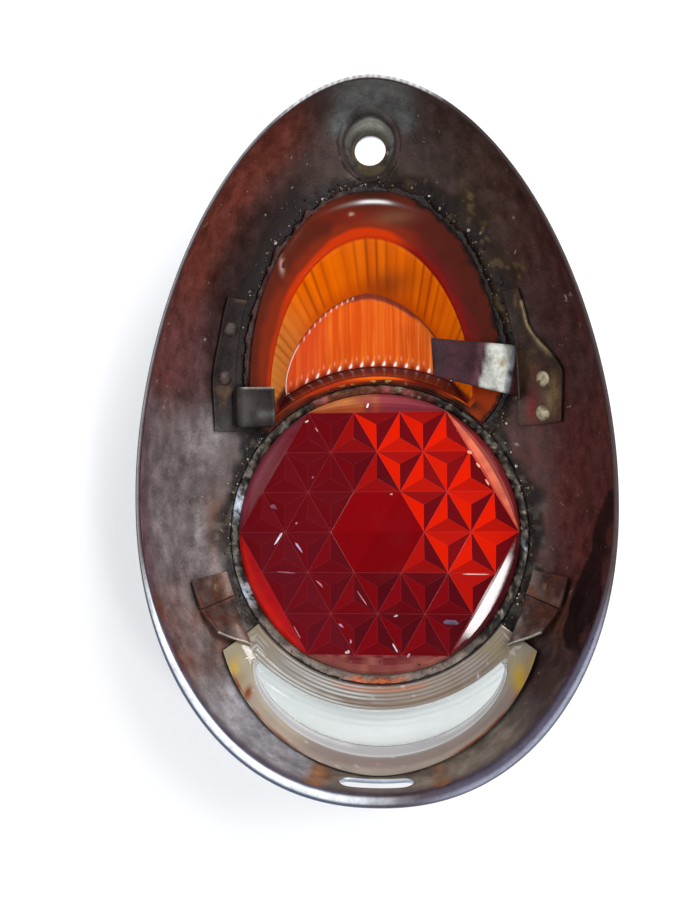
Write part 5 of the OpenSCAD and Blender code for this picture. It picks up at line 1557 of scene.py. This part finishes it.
def makeWelds(label, spots, stands, tone):
    # Each head is a profile turned about the line square to the shell, with a lumpy top
    prof = np.array(welds["profile"])
    phi = np.linspace(0, 2 * np.pi, welds["around"], endpoint=False)
    allPts, allFaces = [], []
    for k, (x, y) in enumerate(spots):
        n = squareTo(np.array(x), np.array(y))
        u = np.cross([0, 1.0, 0], n)
        u /= np.linalg.norm(u)
        v = np.cross(n, u)
        base = np.array([x, y, float(surf(x, y))])
        spoke = np.cos(phi)[None, :, None] * u + np.sin(phi)[None, :, None] * v
        pts = base + prof[:, 0][:, None, None] * spoke + prof[:, 1][:, None, None] * n
        pts = pts.reshape(-1, 3)
        bump = welds["lumps"] * lump(pts, 0.9, 71 + k) * np.repeat((prof[:, 1] > 1.0).astype(float), len(phi))
        allPts.append(pts - np.abs(bump)[:, None] * n)
        allFaces.append(gridFaces(len(prof), len(phi), closed=True, flip=True, first=k * len(pts)))
    pts = np.concatenate(allPts)
    c = paint(ground(pts, *tone), [((96, 70, 44), smooth((lump(pts, 0.9, 72) - 0.1) * 3) * 0.7)])
    makePiece(label, pts, np.concatenate(allFaces), [weldMetal], slot="weld_metal", stands=[stands], tint=c,
              sharp=50)


makeUpperClips()
lowMid = np.radians(low["bend"] - low["back"] * 0.5)
lowSpot = polar(walk(low["in"], lowMid, low["weldIn"]), lowMid)
for side, label in ((-1, "lower_left"), (1, "lower_right")):
    makeLowerClip(side, label)
    makeWelds(label + "_head", [(-side * lowSpot[0], lowSpot[1])], label + "_weld", welds["lowTone"])
for side, label, key in ((-1, "upper_left", "left"), (1, "upper_right", "right")):
    # Heights of the heads, and how far across the strap they stand
    heights, across, tone = welds[key]
    spots = [(side * (float(strapIn(np.array(y))) + float(strapWidth(side, y)) * across), y) for y in heights]
    makeWelds(label + "_heads", spots, label + "_welds", tone)
print("clips made")

# Crumbs of old rubber and rust, in millimetres; slivers of dust and painted glints, each a place, length, width,
# turn in degrees and screen colour
crumbs = {"byRed": 620, "byAmber": 420, "onRed": 160, "least": 0.1, "more": 0.3, "stretch": (0.6, 1.3),
          "jag": (0.75, 1.2), "sliverHigh": 0.25, "black": 0.62, "tan": 0.9,
          "tones": ((34, 28, 25), (120, 104, 78), (206, 200, 186)),
          "dustAndGlints": (
              (-23.1, -22.8, 4.1, 0.6, 56, 226, 226, 236), (-18.1, -25.0, 3.8, 0.6, -52, 190, 172, 214),
              (-21.0, -30.7, 8.0, 0.45, -8, 158, 100, 112), (-12.9, -33.7, 4.4, 0.45, -41, 176, 116, 134),
              (-3.8, -36.4, 5.4, 0.3, -55, 180, 116, 120), (-18.8, -44.1, 4.2, 0.45, -62, 206, 136, 146),
              (-8.1, -43.0, 3.0, 0.6, -30, 168, 112, 152), (-6.3, -45.9, 2.2, 0.5, 80, 194, 154, 172),
              (-7.2, -48.7, 1.4, 0.8, 20, 216, 192, 192), (3.7, -47.8, 2.8, 0.4, -60, 210, 190, 200),
              (6.9, -49.1, 2.4, 0.5, 60, 172, 142, 152), (16.4, -42.1, 4.2, 1.4, -5, 84, 62, 92),
              (3.9, -40.7, 1.5, 0.5, 30, 216, 186, 180), (22.3, -31.3, 7.4, 0.3, -1, 228, 176, 170),
              (-1.8, 8.0, 1.4, 0.5, 70, 240, 224, 214), (-16.2, 4.6, 1.2, 0.5, 20, 216, 196, 176),
              (-14.3, 2.8, 2.2, 0.7, -45, 186, 138, 108), (21.6, -3.4, 1.4, 0.8, -30, 232, 160, 122),
              (23.4, -6.4, 1.6, 0.7, -50, 236, 172, 132), (25.4, -10.4, 2.0, 0.6, -60, 226, 150, 118),
              (-15.0, -8.6, 0.8, 0.5, 0, 170, 100, 104), (-18.6, -19.3, 1.0, 0.5, 10, 196, 150, 150),
              (-24.0, -15.4, 2.6, 1.2, -10, 118, 60, 76), (3.4, -12.8, 0.8, 0.5, 0, 200, 130, 120))}


def makeCrumbs():
    # Twenty-sided lumps, each stretched and turned by chance, strewn along the seals
    g = (1 + math.sqrt(5)) / 2
    base = np.array([(-1, g, 0), (1, g, 0), (-1, -g, 0), (1, -g, 0), (0, -1, g), (0, 1, g), (0, -1, -g),
                     (0, 1, -g), (g, 0, -1), (g, 0, 1), (-g, 0, -1), (-g, 0, 1)], float) / math.hypot(1, g)
    tri = np.array([(0, 11, 5), (0, 5, 1), (0, 1, 7), (0, 7, 10), (0, 10, 11), (1, 5, 9), (5, 11, 4),
                    (11, 10, 2), (10, 7, 6), (7, 1, 8), (3, 9, 4), (3, 4, 2), (3, 2, 6), (3, 6, 8), (3, 8, 9),
                    (4, 9, 5), (2, 4, 11), (6, 2, 10), (8, 6, 7), (9, 8, 1)])

    def facesOf(count, first=0):
        return (tri[None] + 12 * (first + np.arange(count)[:, None, None])).reshape(-1, 3)

    rng = np.random.default_rng(17)
    spots = []
    a = rng.uniform(0, 2 * np.pi, crumbs["byRed"])
    r = rng.normal(35.4, 0.7, crumbs["byRed"])
    keep = (np.abs(np.degrees(a) % 360 - 90) > 40)
    spots.append(np.column_stack([polar(r, a), np.where(r > stepR, surf(*polar(r, a).T) + 0.05, 8.45)])[keep])
    out = amberOuter(2.3)[amber["steps"] + 1:]
    pick = rng.integers(0, len(out), crumbs["byAmber"])
    xy = out[pick] + rng.normal(0, 0.8, (crumbs["byAmber"], 2))
    spots.append(np.column_stack([xy, surf(xy[:, 0], xy[:, 1]) + 0.3]))
    n = crumbs["onRed"]
    xy = np.column_stack([rng.normal(2, 15, n), redY - 28.5 + rng.normal(0, 1.6, n)])
    xy = xy[np.hypot(xy[:, 0], xy[:, 1] - redY) < 31.5]
    spots.append(np.column_stack([xy, np.full(len(xy), 8.0)]))
    p = np.concatenate(spots)
    size = crumbs["least"] + crumbs["more"] * rng.random(len(p)) ** 2.5
    stretch = rng.uniform(*crumbs["stretch"], (len(p), 1, 3))
    jig = rng.uniform(*crumbs["jag"], (len(p), 12, 1))
    pts = p[:, None, :] + base[None] * jig * stretch * size[:, None, None]
    tone = rng.random(len(p))
    kind = (tone >= crumbs["black"]).astype(int) + (tone >= crumbs["tan"])
    c = np.array([screenColour(*q) for q in crumbs["tones"]])[kind]
    # Slivers of dust and painted glints on the red lens lie on its pyramids
    dustAndGlints = np.array(crumbs["dustAndGlints"])
    cell = (redR - red["margin"]) / 3
    j = 2 * (dustAndGlints[:, 1] - redY) / (math.sqrt(3) * cell)
    i = dustAndGlints[:, 0] / cell - j / 2
    fi, fj = i % 1, j % 1
    deep = np.where(fi + fj < 1, np.minimum(1 - fi - fj, np.minimum(fi, fj)),
                    np.minimum(fi + fj - 1, 1 - np.maximum(fi, fj)))
    turn = np.radians(dustAndGlints[:, 4])
    flat = base[None] * dustAndGlints[:, None, [2, 3, 3]] / 2 * [1, 1, crumbs["sliverHigh"]]
    cos, sin = np.cos(turn)[:, None], np.sin(turn)[:, None]
    chips = np.stack([flat[..., 0] * cos - flat[..., 1] * sin + dustAndGlints[:, :1],
                      flat[..., 0] * sin + flat[..., 1] * cos + dustAndGlints[:, 1:2],
                      flat[..., 2] + (red["back"] + 3 * red["prism"] * deep)[:, None]], -1)
    faces = np.concatenate([facesOf(len(p)), facesOf(len(chips), len(p))])
    c = np.concatenate([c, np.array([screenColour(*q) for q in dustAndGlints[:, 5:]])])
    makePiece("crumbs", np.concatenate([pts, chips]), faces, [crumbMatter], slot="seal_rubber",
              tint=np.repeat(c, 12, axis=0), sharp=30)


makeCrumbs()
print("crumbs laid")


# Floor and world, in metres: the floor's colour, the glow that the camera and mirrors see on it, the sky's colour,
# its light, and what the camera sees besides
setting = {"half": 1.5, "drop": 0.0003, "floor": (0.8, 0.8, 0.8, 1), "glow": 0.24,
         "sky": (0.93, 0.96, 1.0, 1), "skyLight": 0.58, "skySeen": 0.4, "aim": (0.0, -0.01, 0.01)}


def makeFloor():
    # A plain floor that also glows a little for the camera and for mirrors, and casts no light by it
    s, down = setting["half"], -setting["drop"]
    mesh = bpy.data.meshes.new("floor")
    mesh.from_pydata([(-s, -s, down), (s, -s, down), (s, s, down), (-s, s, down)], [], [(0, 1, 2, 3)])
    obj = bpy.data.objects.new("floor", mesh)
    bpy.context.scene.collection.objects.link(obj)
    m = bpy.data.materials.new("floor")
    m.use_nodes = True
    tree = m.node_tree
    tree.nodes.remove(tree.nodes["Principled BSDF"])
    matte = put(tree, "ShaderNodeBsdfDiffuse")
    matte.inputs["Color"].default_value = setting["floor"]
    glow = put(tree, "ShaderNodeEmission")
    path = put(tree, "ShaderNodeLightPath")
    seen = sums(tree, "MAXIMUM", path.outputs["Is Camera Ray"],
                sums(tree, "MAXIMUM", path.outputs["Is Glossy Ray"], path.outputs["Is Transmission Ray"]))
    tree.links.new(times(tree, seen, setting["glow"]), glow.inputs["Strength"])
    both = put(tree, "ShaderNodeAddShader")
    tree.links.new(matte.outputs["BSDF"], both.inputs[0])
    tree.links.new(glow.outputs["Emission"], both.inputs[1])
    tree.links.new(both.outputs["Shader"], tree.nodes["Material Output"].inputs["Surface"])
    mesh.materials.append(m)


# Lamps in metres and watts: place, width, height and power
lamps = {"key": ((0.42, 0.28, 0.62), 0.36, 0.3, 3.6), "glint": ((0.237, -0.17, 0.44), 0.07, 0.09, 0.5),
         "left": ((-0.5, 0.05, 0.45), 0.4, 0.3, 0.9)}


def makeLamps():
    for name, (at, wide, high, power) in lamps.items():
        data = bpy.data.lights.new(name, "AREA")
        data.shape = "RECTANGLE"
        data.size, data.size_y, data.energy = wide, high, power
        obj = bpy.data.objects.new(name, data)
        bpy.context.scene.collection.objects.link(obj)
        obj.location = at
        obj.rotation_euler = (Vector(at) - Vector(setting["aim"])).to_track_quat("Z", "Y").to_euler()
    world = bpy.data.worlds.new("world")
    bpy.context.scene.world = world
    world.use_nodes = True
    tree = world.node_tree
    back = tree.nodes["Background"]
    back.inputs["Color"].default_value = setting["sky"]
    path = put(tree, "ShaderNodeLightPath")
    seen = times(tree, path.outputs["Is Camera Ray"], setting["skySeen"])
    tree.links.new(plus(tree, seen, setting["skyLight"]), back.inputs["Strength"])
    bpy.context.scene.view_settings.view_transform = "Standard"


makeFloor()
makeLamps()
print("stage made")
